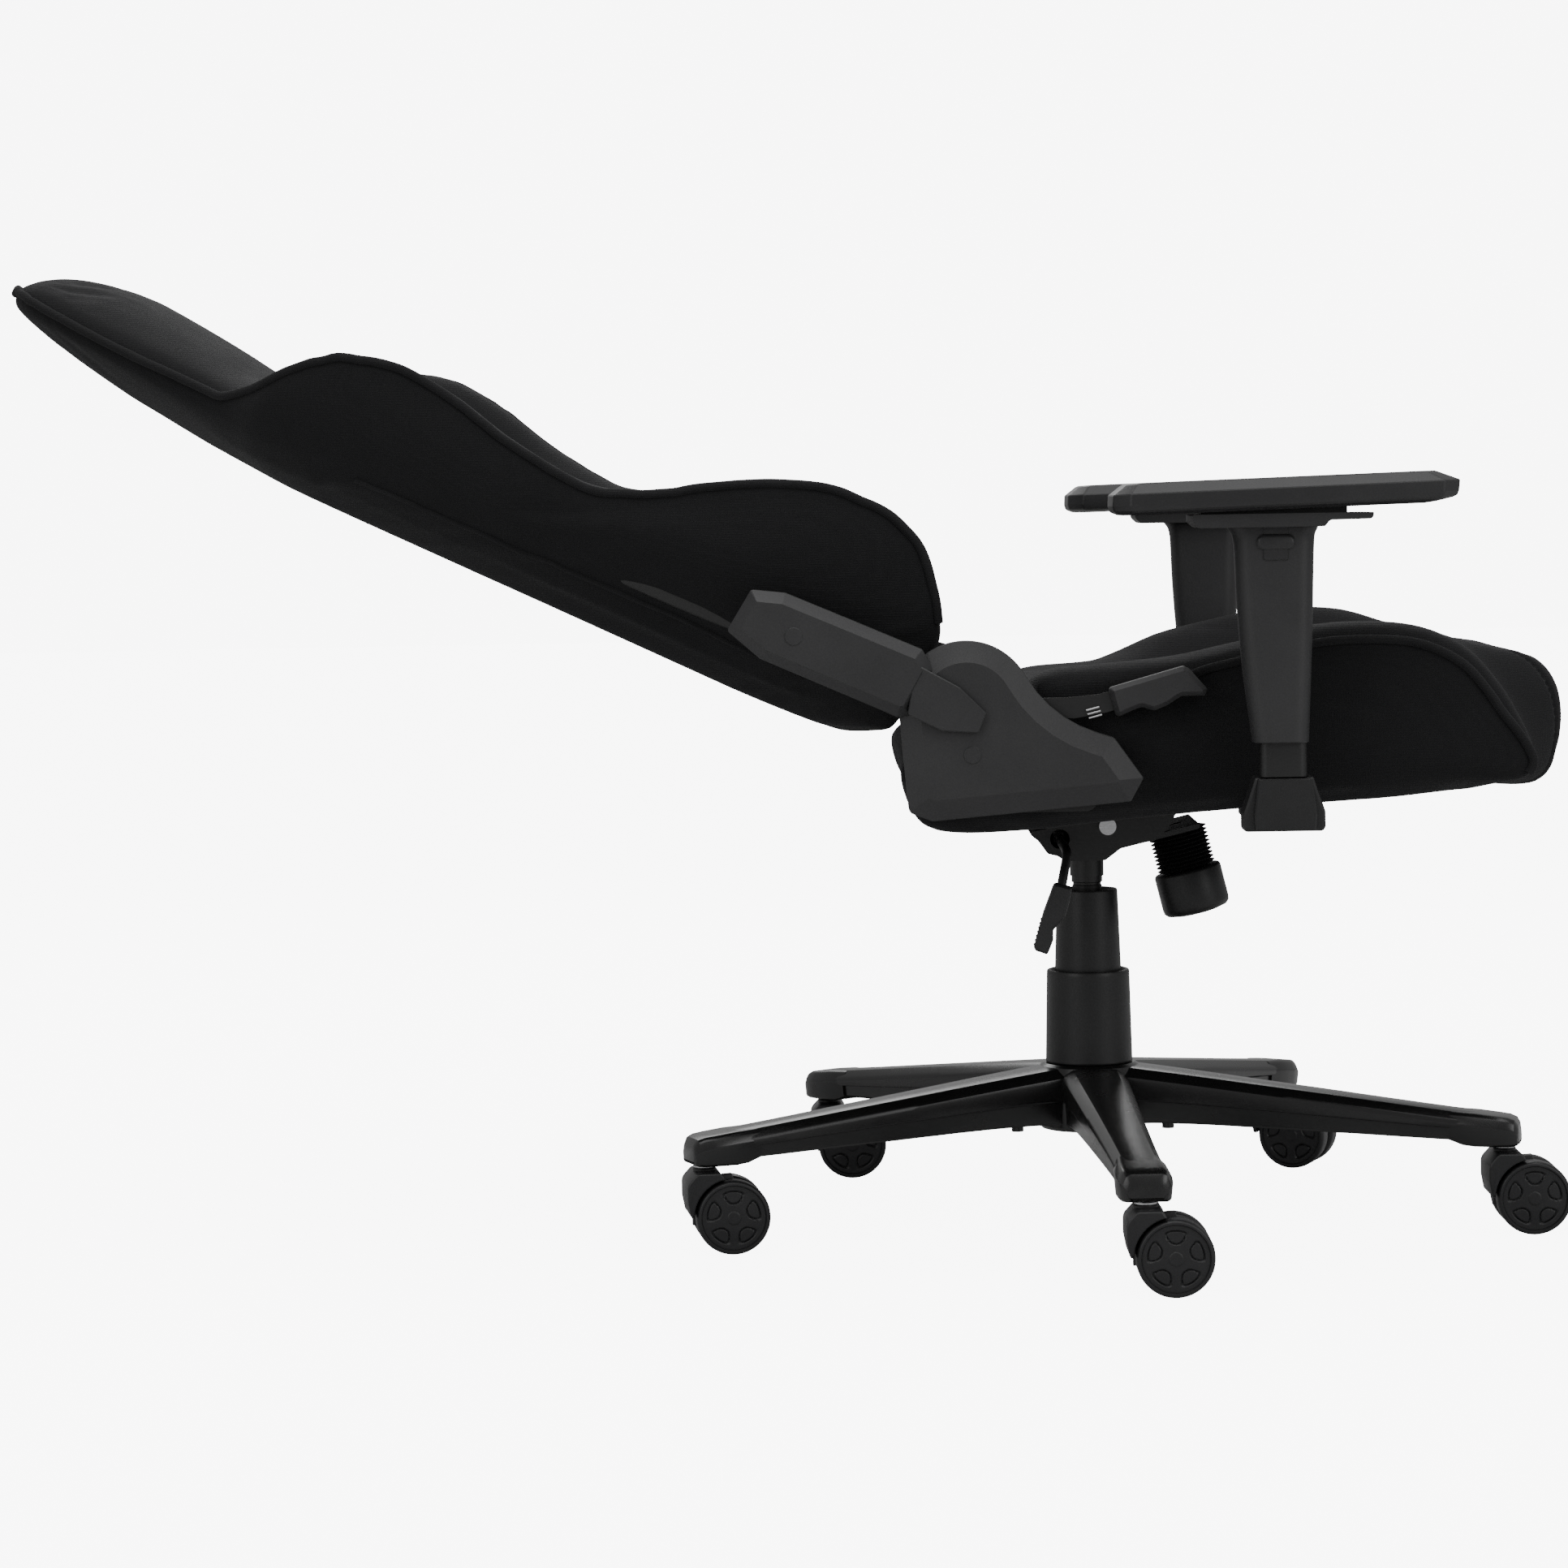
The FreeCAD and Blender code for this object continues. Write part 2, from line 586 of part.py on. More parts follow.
SEAT_CENTRE = [
    (150, 405, 6), (158, 378, 12), (142, 349, 12), (69, 349, 20), (-88, 362, 60), (-214, 370, 60),
    (-310, 374, 30), (-352, 366, 12), (-376, 420, 40), (-352, 479, 26), (-240, 458, 100), (52, 452, 14),
    (64, 428, 8),
]
SEAT_WING = [
    (150, 405, 6), (158, 378, 12), (142, 349, 12), (69, 349, 20), (-88, 362, 60), (-214, 370, 60),
    (-325, 375, 10), (-337, 398, 20), (-318, 444, 50), (-262, 499, 40), (-190, 505, 60), (-60, 477, 100),
    (49, 469, 10), (64, 428, 8),
]
SEAT_TUBES_Y = [25, 120]
SEAT_TUBE_Z = 378
RAIL_X = 225
RAIL_FRONT = (-285, 400)
LOWER_PLATE = [(6, 362, 10), (140, 362, 10), (146, 400, 12), (137, 443, 0), (77, 443, 0), (58, 402, 30),
               (6, 390, 12)]
PLATE_DISC_RADIUS = 30
BOLT_GRIP = 24


def tube_between(name, start, end):
    """A steel tube between two points with a threaded plug in each end; returns the tube and its hollow."""
    run = Vector(*end) - Vector(*start)
    turn = Rotation(Vector(0, 0, 1), run)
    outside = cylinder(name, "dims.frame_tube_radius", f"{run.Length}", start, turn)
    core_start = Vector(*start) + run * (BOLT_GRIP + 4) / run.Length
    core_length = f"{run.Length - 2 * (BOLT_GRIP + 4)}"
    core = cylinder(name + "_core", "dims.frame_tube_radius - dims.frame_tube_wall", core_length,
                    core_start, turn)
    return outside, core


def welded(name, tubes):
    """Tubes welded into one frame, with their hollows kept open."""
    outsides = fuse(name + "_outside", [outside for outside, core in tubes])
    return cut(name, outsides, fuse(name + "_inside", [core for outside, core in tubes]))


def bolt_at(name, side, face, y, z):
    """One hexagon bolt through a side plate, with its head on the plate's outer face."""
    low = side * face - BOLT_GRIP if side > 0 else side * face
    head_low = side * face if side > 0 else side * face - 4
    shank = cylinder(name + "_shank", "dims.bolt_radius", f"{BOLT_GRIP}", (low, y, z), TO_X)
    head = cylinder(name + "_head", "dims.bolt_head_radius", "4", (head_low, y, z), TO_X)
    return fuse(name, [shank, head])


def make_seat():
    reach = dim("lower_plate_inner")
    face = reach + dim("plate_thick")
    tubes = [tube_between(f"seat_cross_{i}", (-reach, y, SEAT_TUBE_Z), (reach, y, SEAT_TUBE_Z))
             for i, y in enumerate(SEAT_TUBES_Y)]
    for name, side in SIDES:
        back_end = (side * RAIL_X, SEAT_TUBES_Y[1], SEAT_TUBE_Z)
        tubes.append(tube_between(f"seat_rail_{name}", back_end, (side * RAIL_X, *RAIL_FRONT)))
    tubes.append(tube_between("seat_front_tube", (-RAIL_X, *RAIL_FRONT), (RAIL_X, *RAIL_FRONT)))
    bolts = [bolt_at(f"seat_bolt_{name}_{i}", side, face, y, SEAT_TUBE_Z)
             for name, side in SIDES for i, y in enumerate(SEAT_TUBES_Y)]
    frame_tubes = welded("seat_frame_tubes", tubes)
    bolt_set = node("seat_bolts", group("seat_bolt_set", bolts))
    node("seat_frame", cut("seat_frame_drilled", frame_tubes, bolt_set))
    foam = new_body("seat_foam")
    middle_slab(foam, "seat_centre", rounded(SEAT_CENTRE), "centre_width")
    for name, side in SIDES:
        slab(foam, f"seat_wing_{name}", rounded(SEAT_WING), "wing_inner", "seat_wing_width", side)
    node("seat_cushion", foam)
    for name, side in SIDES:
        plate = new_body(f"lower_plate_{name}")
        disc = circle(dim("pivot_y"), dim("pivot_z"), PLATE_DISC_RADIUS)
        slab(plate, f"lower_plate_foot_{name}", rounded(LOWER_PLATE), "lower_plate_inner", "plate_thick",
             side)
        slab(plate, f"lower_plate_disc_{name}", disc, "lower_plate_inner", "plate_thick", side)
        pin_hole = circle(dim("pivot_y"), dim("pivot_z"), dim("pin_radius"))
        slab(plate, f"lower_pin_hole_{name}", pin_hole, "lower_plate_inner", "plate_thick", side, cut=True)
        node(f"recliner_lower_plate_{name}", cut(f"lower_plate_drilled_{name}", plate, bolt_set))


def make_pins():
    inner = dim("upper_plate_inner") - 2
    length = dim("lever_inner") + dim("lever_thick") + 2 - inner
    pins = []
    for name, side in SIDES:
        low = inner if side > 0 else -inner - length
        start = (low, dim("pivot_y"), dim("pivot_z"))
        pins.append(cylinder(f"pin_{name}", "dims.pin_radius", f"{length}", start, TO_X))
    return node("recliner_pins", group("pin_set", pins))


make_seat()
make_pins()


# ---- side covers and recline lever ----------------------------------------------------------

LOWER_COVER_LEFT = [
    (160, 432, 10), (152, 364, 14), (134, 357, 12), (-18, 370, 12), (-28, 388, 10), (-6, 419, 8),
    (22, 424, 20), (70, 440, 20), (90, 462, 10), (140, 462, 20),
]
LOWER_COVER = [
    (160, 448, 4), (152, 364, 14), (134, 357, 12), (-18, 370, 12), (-28, 388, 10), (-6, 419, 8), (22, 428,
                                                                                                  20),
    (56, 462, 10), (140, 480, 10),
]
UPPER_COVER = [
    (270, 537, 8), (244, 534, 12), (137, 488, 6), (130, 472, 6), (92, 440, 5), (98, 425, 4), (126, 427, 6),
    (150, 438, 6), (160, 438, 6), (264, 484, 8), (289, 506, 8),
]
UPPER_COVER_BACK = [(270, 537, 8), (244, 534, 12), (150, 494, 4), (168, 441, 4), (264, 484, 8),
                    (289, 506, 8)]
LEVER_SLOT = [(5, 429, 0), (72, 429, 0), (72, 505, 0), (5, 505, 0)]
LEVER_ARM = [(107, 436, 0), (24, 434, 10), (0, 438, 0), (-50, 452, 3), (-47, 464, 3), (6, 452, 10),
             (30, 450, 10), (107, 450, 0)]
LEVER_GRIP = [(6, 433, 4), (-20, 435, 12), (-70, 450, 5), (-76, 458, 5), (-58, 474, 6), (-2, 458, 10),
              (12, 450, 5)]
LEVER_EYE_RADIUS = 15


def make_side_covers(name, side):
    hinge = (dim("pivot_y"), dim("pivot_z"))
    wall = dim("side_cover_wall")
    radius = dim("hinge_disc_radius") if side == RIGHT else dim("left_disc_radius")
    foot = LOWER_COVER if side == RIGHT else LOWER_COVER_LEFT
    lower = new_body(f"lower_cover_{name}")
    slab(lower, f"lower_cover_foot_{name}", rounded(foot), "side_cover_inner", "side_cover_thick",
         side)
    slab(lower, f"lower_cover_disc_{name}", circle(*hinge, radius), "side_cover_inner", "side_cover_thick",
         side)
    inside = rounded(inset_corners(foot, wall))
    disc = circle(*hinge, radius - wall)
    slab(lower, f"lower_cover_space_{name}", inside, "side_cover_inner", "side_cover_cavity", side,
         cut=True)
    slab(lower, f"lower_disc_space_{name}", disc, "side_cover_inner", "side_cover_cavity", side, cut=True)
    if side == RIGHT:
        slot = rounded(LEVER_SLOT)
        slab(lower, "lower_cover_lever_slot", slot, "side_cover_inner", "lip_thick", side, cut=True)
    node(f"lower_side_cover_{name}", lower)

    upper = new_body(f"upper_cover_{name}")
    slab(upper, f"upper_cover_face_{name}", rounded(UPPER_COVER), "lip_inner", "lip_thick", side)
    back_outline = rounded(UPPER_COVER_BACK)
    slab(upper, f"upper_cover_back_{name}", back_outline, "side_cover_inner", "side_cover_thick + 1.5", side)
    node(f"upper_side_cover_{name}", upper)


def make_recline_lever():
    hinge = (dim("pivot_y"), dim("pivot_z"))
    arm = new_body("recline_arm_body")
    slab(arm, "recline_arm", rounded(LEVER_ARM), "lever_inner", "lever_thick", RIGHT)
    slab(arm, "recline_eye", circle(*hinge, LEVER_EYE_RADIUS), "lever_inner", "lever_thick", RIGHT)
    bore = circle(*hinge, dim("pin_radius") + dim("running_gap"))
    slab(arm, "recline_bore", bore, "lever_inner", "lever_thick", RIGHT, cut=True)
    node("recline_lever_arm", arm)
    grip = new_body("recline_grip_body")
    slab(grip, "recline_grip", rounded(LEVER_GRIP), "grip_inner", "grip_thick", RIGHT)
    node("recline_lever_grip", cut("recline_grip_slotted", grip, arm))


for side_name, side_sign in SIDES:
    make_side_covers(side_name, side_sign)
make_recline_lever()


# ---- backrest -------------------------------------------------------------------------------

BACK_REAR = [(691, 660, 60), (604, 618, 80), (289, 468, 150), (165, 417, 12)]
BACK_CENTRE = [
    (128, 489, 8), (276, 554, 80), (402, 591, 80), (610, 690, 60), (665, 711, 60), (780, 778, 40), (822,
                                                                                                    799,
                                                                                                    20),
    (862, 782, 16), (828, 742, 20),
] + BACK_REAR
BACK_WING = [
    (128, 489, 8), (122, 560, 40), (160, 606, 45), (250, 625, 90), (370, 604, 80), (480, 675, 60), (562,
                                                                                                    729,
                                                                                                    45),
    (640, 705, 60), (716, 689, 6), (722, 675, 4),
] + BACK_REAR
CROSS_ALONG = [60, 520]
TUBE_FRONT = [-10, -18]
BACK_RAIL_X = 232
UPPER_PLATE_END = 150


def make_backrest():
    plate_face = dim("upper_plate_inner")
    bolt_face = plate_face + dim("plate_thick")
    low = back_point(CROSS_ALONG[0], TUBE_FRONT[0])
    high = back_point(CROSS_ALONG[1], TUBE_FRONT[1])
    tubes = [
        tube_between("back_cross_low", (-plate_face, *low), (plate_face, *low)),
        tube_between("back_cross_high", (-BACK_RAIL_X, *high), (BACK_RAIL_X, *high)),
    ]
    for name, side in SIDES:
        tubes.append(tube_between(f"back_rail_{name}", (side * BACK_RAIL_X, *low),
                                  (side * BACK_RAIL_X, *high)))
    frame_tubes = welded("back_frame_tubes", tubes)
    bolts = [bolt_at(f"back_bolt_{name}", side, bolt_face, *low) for name, side in SIDES]
    bolt_set = node("back_bolts", group("back_bolt_set", bolts))
    node("back_frame", cut("back_frame_drilled", frame_tubes, bolt_set))
    foam = new_body("back_foam")
    middle_slab(foam, "back_centre", rounded(BACK_CENTRE), "centre_width")
    for name, side in SIDES:
        slab(foam, f"back_wing_{name}", rounded(BACK_WING), "wing_inner", "back_wing_width", side)
    node("back_cushion", foam)
    hinge = (dim("pivot_y"), dim("pivot_z"))
    for name, side in SIDES:
        plate = new_body(f"upper_plate_{name}")
        bar = link(*hinge, PLATE_DISC_RADIUS, *back_point(UPPER_PLATE_END, TUBE_FRONT[0]), 16)
        slab(plate, f"upper_plate_bar_{name}", bar, "upper_plate_inner", "plate_thick", side)
        bore = circle(*hinge, dim("pin_radius") + dim("running_gap"))
        slab(plate, f"upper_plate_bore_{name}", bore, "upper_plate_inner", "plate_thick", side, cut=True)
        node(f"recliner_upper_plate_{name}", cut(f"upper_plate_drilled_{name}", plate, bolt_set))


make_backrest()


# ---- arm rests ------------------------------------------------------------------------------

SLEEVE = [(-96, 578, 4), (-97, 530, 10), (-101, 480, 40), (-109, 415, 2), (-150, 415, 2), (-153, 500, 30),
          (-155, 578, 4)]
POST = [(-117, 389, 0), (-150, 389, 0), (-150, 520, 1), (-117, 520, 1)]
SLEEVE_BORE = [(-116.5, 413, 0), (-150.5, 413, 0), (-150.5, 556, 1), (-116.5, 556, 1)]
FOOT = [(-110, 389, 2), (-101, 358, 8), (-101, 347, 3), (-164, 347, 3), (-164, 360, 8), (-155, 389, 2)]
BUTTON = [(-112, 560, 6.5), (-112, 574, 6.5), (-141, 574, 6.5), (-141, 560, 6.5)]
BUTTON_WELL = [(-111, 559, 6.5), (-111, 575, 6.5), (-142, 575, 6.5), (-142, 559, 6.5)]
ARM_PLATE = [
    (-63, 588.5, 1), (-63, 583, 3), (-68, 578.3, 3), (-162, 578.3, 2), (-166, 583, 3), (-198, 583.5, 3),
    (-199, 588.5, 1),
]
RAIL = [(-70, 588, 0), (-180, 588, 0), (-180, 594.5, 1), (-70, 594.5, 1)]
GROOVE = [(-35, 588, 0), (-225, 588, 0), (-225, 595, 1), (-35, 595, 1)]
ARM_PAD = [
    (-2, 606, 5), (-3, 589, 3), (-190, 589, 30), (-262, 597, 3), (-263.5, 609, 6), (-249, 618.3, 15),
    (-85, 615.5, 40), (-13, 612.5, 6),
]
PAD_PIVOT_Y = -128
BRACKET_INNER = 165
BRACKET_Z = (350, 361)


def upright_slab(body, name, edges, centre, width, cut=False):
    """A YZ outline as a slab of a given width expression, centred on one arm rest."""
    feature = middle_slab(body, name, edges, width, cut=cut)
    feature.Profile[0].AttachmentOffset = Placement(Vector(0, 0, centre), Rotation())
    return feature


def make_arm(name, side):
    centre = side * dim("arm_centre")
    foot = new_body(f"arm_foot_{name}")
    slab(foot, f"arm_foot_block_{name}", rounded(FOOT), "sleeve_inner", "sleeve_thick - 4", side)
    inner = BRACKET_INNER if side > 0 else -dim("sleeve_inner") - 4
    bar_size = (f"dims.sleeve_inner + 4 - {BRACKET_INNER}", "42", f"{BRACKET_Z[1] - BRACKET_Z[0]}")
    bar = block(f"arm_bar_{name}", bar_size, (inner, -153, BRACKET_Z[0]))
    node(f"arm_bracket_{name}", fuse(f"arm_bracket_all_{name}", [foot, bar]))

    post = new_body(f"arm_post_body_{name}")
    slab(post, f"arm_post_bar_{name}", rounded(POST), "post_inner", "post_thick", side)
    node(f"arm_post_{name}", post)

    sleeve = new_body(f"arm_sleeve_body_{name}")
    slab(sleeve, f"sleeve_{name}", rounded(SLEEVE), "sleeve_inner", "sleeve_thick", side)
    slab(sleeve, f"sleeve_bore_{name}", rounded(SLEEVE_BORE), "bore_inner", "bore_thick", side, cut=True)
    slab(sleeve, f"button_well_{name}", rounded(BUTTON_WELL), "button_well_inner", "button_well_depth",
         side, cut=True)
    pivot_hole = cylinder(f"pad_pivot_hole_{name}", "dims.pad_pivot_radius + dims.running_gap", "20",
                          (centre, PAD_PIVOT_Y, 567))
    node(f"arm_sleeve_{name}", cut(f"arm_sleeve_bored_{name}", sleeve, pivot_hole))

    button = new_body(f"arm_button_body_{name}")
    slab(button, f"button_{name}", rounded(BUTTON), "button_inner", "button_thick", side)
    node(f"arm_button_{name}", button)

    plate = new_body(f"arm_plate_body_{name}")
    upright_slab(plate, f"arm_plate_{name}", rounded(ARM_PLATE), centre, "arm_plate_width")
    upright_slab(plate, f"arm_rail_{name}", rounded(RAIL), centre, "rail_width")
    stub = cylinder(f"pad_pivot_{name}", "dims.pad_pivot_radius", "16", (centre, PAD_PIVOT_Y, 568))
    node(f"arm_pad_plate_{name}", fuse(f"arm_pad_plate_all_{name}", [plate, stub]))

    pad = new_body(f"arm_pad_body_{name}")
    upright_slab(pad, f"arm_pad_top_{name}", rounded(ARM_PAD), centre, "arm_pad_width")
    upright_slab(pad, f"arm_pad_groove_{name}", rounded(GROOVE), centre, "rail_width + 1", cut=True)
    node(f"arm_pad_{name}", pad)


for side_name, side_sign in SIDES:
    make_arm(side_name, side_sign)


# ---- checks and export ----------------------------------------------------------------------

doc.recompute()
for thing in doc.Objects:
    if "Invalid" in thing.State or "Error" in thing.State:
        raise RuntimeError(f"{thing.Name} failed: {thing.State}")
os.makedirs("parts", exist_ok=True)
for name, thing in nodes.items():
    shape = thing.Shape
    if shape.isNull() or not shape.isValid() or not shape.Solids:
        raise RuntimeError(f"{name} has no valid solid")
    shape.exportStep(f"parts/{name}.step")
    print(f"{name:32s} solids {len(shape.Solids)}  volume {shape.Volume / 1000:9.1f} cm3")
print(len(nodes), "nodes")
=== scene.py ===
import json
import math

import bmesh
import bpy
import numpy as np
from mathutils import Matrix, Vector
from mathutils.bvhtree import BVHTree
from mathutils.kdtree import KDTree


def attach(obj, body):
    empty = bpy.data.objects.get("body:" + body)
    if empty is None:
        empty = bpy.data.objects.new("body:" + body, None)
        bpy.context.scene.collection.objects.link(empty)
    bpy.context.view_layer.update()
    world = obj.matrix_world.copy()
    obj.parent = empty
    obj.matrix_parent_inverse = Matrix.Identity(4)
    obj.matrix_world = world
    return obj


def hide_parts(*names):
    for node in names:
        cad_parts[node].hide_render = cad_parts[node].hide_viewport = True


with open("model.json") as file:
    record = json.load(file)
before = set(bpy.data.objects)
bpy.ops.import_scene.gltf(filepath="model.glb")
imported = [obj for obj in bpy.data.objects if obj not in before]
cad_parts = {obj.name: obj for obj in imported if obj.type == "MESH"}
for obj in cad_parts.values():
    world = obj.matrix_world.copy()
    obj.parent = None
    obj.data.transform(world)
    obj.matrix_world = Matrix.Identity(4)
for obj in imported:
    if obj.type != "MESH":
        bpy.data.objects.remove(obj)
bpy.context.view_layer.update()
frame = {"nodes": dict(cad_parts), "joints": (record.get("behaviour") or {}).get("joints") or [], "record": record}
JOINTS = {joint["name"]: joint for joint in frame["joints"]}
MM = 0.001
SIDES = (("right", -1), ("left", 1))


# ---- camera, light and floor -----------------------------------------------------------------

def make_camera():
    """The photograph's view: from the chair's right, at arm-rest height, through a long lens."""
    yaw, pitch, roll = math.radians(-0.64), math.radians(3.75), math.radians(0.97)
    ahead = Vector((math.cos(pitch) * math.cos(yaw), -math.cos(pitch) * math.sin(yaw), -math.sin(pitch)))
    level = Vector((-math.sin(yaw), -math.cos(yaw), 0))
    rise = level.cross(ahead)
    right = level * math.cos(roll) - rise * math.sin(roll)
    up = level * math.sin(roll) + rise * math.cos(roll)
    data = bpy.data.cameras.new("camera")
    data.sensor_width = 36
    data.lens = 100.5
    data.clip_end = 60
    camera = bpy.data.objects.new("camera", data)
    turn = Matrix((right, up, -ahead)).transposed().to_4x4()
    camera.matrix_world = Matrix.Translation((-3.63, 0.21, 0.607)) @ turn
    bpy.context.scene.collection.objects.link(camera)
    bpy.context.scene.camera = camera


def add_light(name, place, target, size, power):
    data = bpy.data.lights.new(name, "AREA")
    data.shape = "RECTANGLE"
    data.size, data.size_y = size
    data.energy = power
    lamp = bpy.data.objects.new(name, data)
    aim = (Vector(target) - Vector(place)).to_track_quat("-Z", "Y").to_matrix().to_4x4()
    lamp.matrix_world = Matrix.Translation(place) @ aim
    bpy.context.scene.collection.objects.link(lamp)


SKY_LIGHT = 0.42
SEEN_WHITE = 8.0


def camera_switch(tree, lighting, seen):
    """A value that differs between what the camera sees directly and what lights the object."""
    path = tree.nodes.new("ShaderNodeLightPath")
    switch = tree.nodes.new("ShaderNodeMapRange")
    switch.inputs[3].default_value = lighting
    switch.inputs[4].default_value = seen
    tree.links.new(path.outputs["Is Camera Ray"], switch.inputs[0])
    return switch.outputs[0]


def make_stage():
    world = bpy.data.worlds.new("studio")
    world.use_nodes = True
    brightness = camera_switch(world.node_tree, SKY_LIGHT, SEEN_WHITE)
    world.node_tree.nodes["Background"].inputs["Color"].default_value = (1, 1, 1, 1)
    world.node_tree.links.new(brightness, world.node_tree.nodes["Background"].inputs["Strength"])
    bpy.context.scene.world = world
    middle = (0, 0.2, 0.5)
    add_light("overhead", (-0.6, 0.1, 2.9), middle, (2.6, 2.6), 45)
    add_light("near_left", (-2.4, 2.2, 1.5), middle, (1.4, 1.8), 15)
    add_light("near_right", (-2.2, -2.4, 1.6), middle, (1.4, 1.8), 22)
    add_light("rim", (2.4, 0.4, 2.0), middle, (2.0, 1.2), 24)
    bpy.ops.mesh.primitive_plane_add(size=30, location=(0, 0, 0))
    floor = bpy.context.object
    floor.name = "floor"
    material = bpy.data.materials.new("floor_white")
    material.use_nodes = True
    shader = material.node_tree.nodes["Principled BSDF"]
    shader.inputs["Base Color"].default_value = (0.6, 0.6, 0.6, 1)
    shader.inputs["Roughness"].default_value = 0.9
    shader.inputs["Emission Color"].default_value = (1, 1, 1, 1)
    glow = camera_switch(material.node_tree, 0.0, SEEN_WHITE)
    material.node_tree.links.new(glow, shader.inputs["Emission Strength"])
    floor.data.materials.append(material)


make_camera()
make_stage()


# ---- materials -------------------------------------------------------------------------------

class Nodes:
    """Adds and wires the nodes of one material."""

    def __init__(self, name):
        self.material = bpy.data.materials.new(name)
        self.material.use_nodes = True
        self.tree = self.material.node_tree
        self.shader = self.tree.nodes["Principled BSDF"]
        self.place = self.add("ShaderNodeTexCoord").outputs["Object"]

    def add(self, kind, **settings):
        node = self.tree.nodes.new(kind)
        for key, value in settings.items():
            if hasattr(node, key):
                setattr(node, key, value)
            else:
                node.inputs[key.replace("_", " ")].default_value = value
        return node

    def wire(self, source, target):
        self.tree.links.new(source, target)

    def noise(self, scale, detail=3.0, rough=0.5):
        node = self.add("ShaderNodeTexNoise", Scale=scale, Detail=detail, Roughness=rough)
        self.wire(self.place, node.inputs["Vector"])
        return node.outputs["Fac"]

    def ramp(self, source, low, high, out_low, out_high):
        node = self.add("ShaderNodeMapRange")
        for index, value in enumerate((low, high, out_low, out_high), start=1):
            node.inputs[index].default_value = value
        self.wire(source, node.inputs[0])
        return node.outputs[0]

    def math(self, operation, first, second):
        node = self.add("ShaderNodeMath", operation=operation)
        for index, value in enumerate((first, second)):
            if isinstance(value, (int, float)):
                node.inputs[index].default_value = value
            else:
                self.wire(value, node.inputs[index])
        return node.outputs[0]

    def mix(self, factor, dark, light):
        node = self.add("ShaderNodeMix", data_type="RGBA")
        node.inputs[6].default_value = (*dark, 1)
        node.inputs[7].default_value = (*light, 1)
        self.wire(factor, node.inputs[0])
        return node.outputs[2]

    def bump(self, height, strength, distance, under=None):
        node = self.add("ShaderNodeBump", Strength=strength, Distance=distance)
        self.wire(height, node.inputs["Height"])
        if under:
            self.wire(under, node.inputs["Normal"])
        return node.outputs["Normal"]


def fabric_material(name, dark, light):
    """Woven polyester: crossed yarns about a millimetre apart, mottled, with a faint nap."""
    n = Nodes(name)
    yarns = []
    for axis in ("X", "Y", "Z"):
        wave = n.add("ShaderNodeTexWave", wave_type="BANDS", bands_direction=axis, Scale=260.0,
                     Distortion=2.5)
        wave.inputs["Detail"].default_value = 1.0
        n.wire(n.place, wave.inputs["Vector"])
        yarns.append(wave.outputs["Fac"])
    weave = n.math("MAXIMUM", n.math("MULTIPLY", yarns[0], yarns[2]), n.math("MULTIPLY", yarns[1], yarns[2]))
    slub = n.noise(420.0, 2.0, 0.7)
    mottle = n.noise(26.0, 5.0, 0.65)
    patches = n.math("MULTIPLY", n.ramp(mottle, 0.3, 0.7, 0, 1), 0.4)
    tone = n.math("ADD", n.math("MULTIPLY", weave, 0.35), patches)
    tone = n.math("ADD", tone, n.math("MULTIPLY", slub, 0.35))
    n.wire(n.mix(tone, dark, light), n.shader.inputs["Base Color"])
    n.wire(n.ramp(mottle, 0.3, 0.7, 0.86, 0.97), n.shader.inputs["Roughness"])
    coarse = n.bump(n.noise(60.0, 3.0, 0.6), 0.12, 0.002)
    n.wire(n.bump(n.math("ADD", weave, n.math("MULTIPLY", slub, 0.6)), 0.55, 0.0006, coarse),
           n.shader.inputs["Normal"])
    n.shader.inputs["Sheen Weight"].default_value = 0.05
    n.shader.inputs["Sheen Roughness"].default_value = 0.45
    n.shader.inputs["Sheen Tint"].default_value = (0.6, 0.6, 0.62, 1)
    n.shader.inputs["Specular IOR Level"].default_value = 0.25
    return n.material


def plastic_material(name, dark, light, rough, grain=0.25, coat=0.0):
    """Moulded plastic: fine spark-eroded grain, faint flow tone and patchy roughness."""
    n = Nodes(name)
    cloud = n.noise(14.0, 4.0, 0.6)
    fine = n.noise(900.0, 2.0, 0.5)
    n.wire(n.mix(n.ramp(cloud, 0.3, 0.7, 0, 1), dark, light), n.shader.inputs["Base Color"])
    scuff = n.math("ADD", n.math("MULTIPLY", cloud, 0.12), n.math("MULTIPLY", n.noise(70.0, 6.0, 0.7), 0.08))
    n.wire(n.math("ADD", scuff, rough - 0.1), n.shader.inputs["Roughness"])
    n.wire(n.bump(fine, grain, 0.0003), n.shader.inputs["Normal"])
    n.shader.inputs["Specular IOR Level"].default_value = 0.45
    n.shader.inputs["Coat Weight"].default_value = coat
    n.shader.inputs["Coat Roughness"].default_value = 0.25
    return n.material


def metal_material(name, colour, rough, metallic):
    """Powder-coated or bare steel, with fine orange peel or drawn lines."""
    n = Nodes(name)
    stretch = n.add("ShaderNodeMapping")
    stretch.inputs["Scale"].default_value = (40, 40, 900)
    n.wire(n.place, stretch.inputs["Vector"])
    lines = n.add("ShaderNodeTexNoise", Scale=1.0, Detail=2.0)
    n.wire(stretch.outputs["Vector"], lines.inputs["Vector"])
    shade = [channel * 0.8 for channel in colour]
    n.wire(n.mix(n.noise(30.0), shade, colour), n.shader.inputs["Base Color"])
    n.wire(n.math("ADD", n.math("MULTIPLY", lines.outputs["Fac"], 0.12), rough - 0.06),
           n.shader.inputs["Roughness"])
    n.wire(n.bump(lines.outputs["Fac"], 0.1, 0.0004), n.shader.inputs["Normal"])
    n.shader.inputs["Metallic"].default_value = metallic
    return n.material


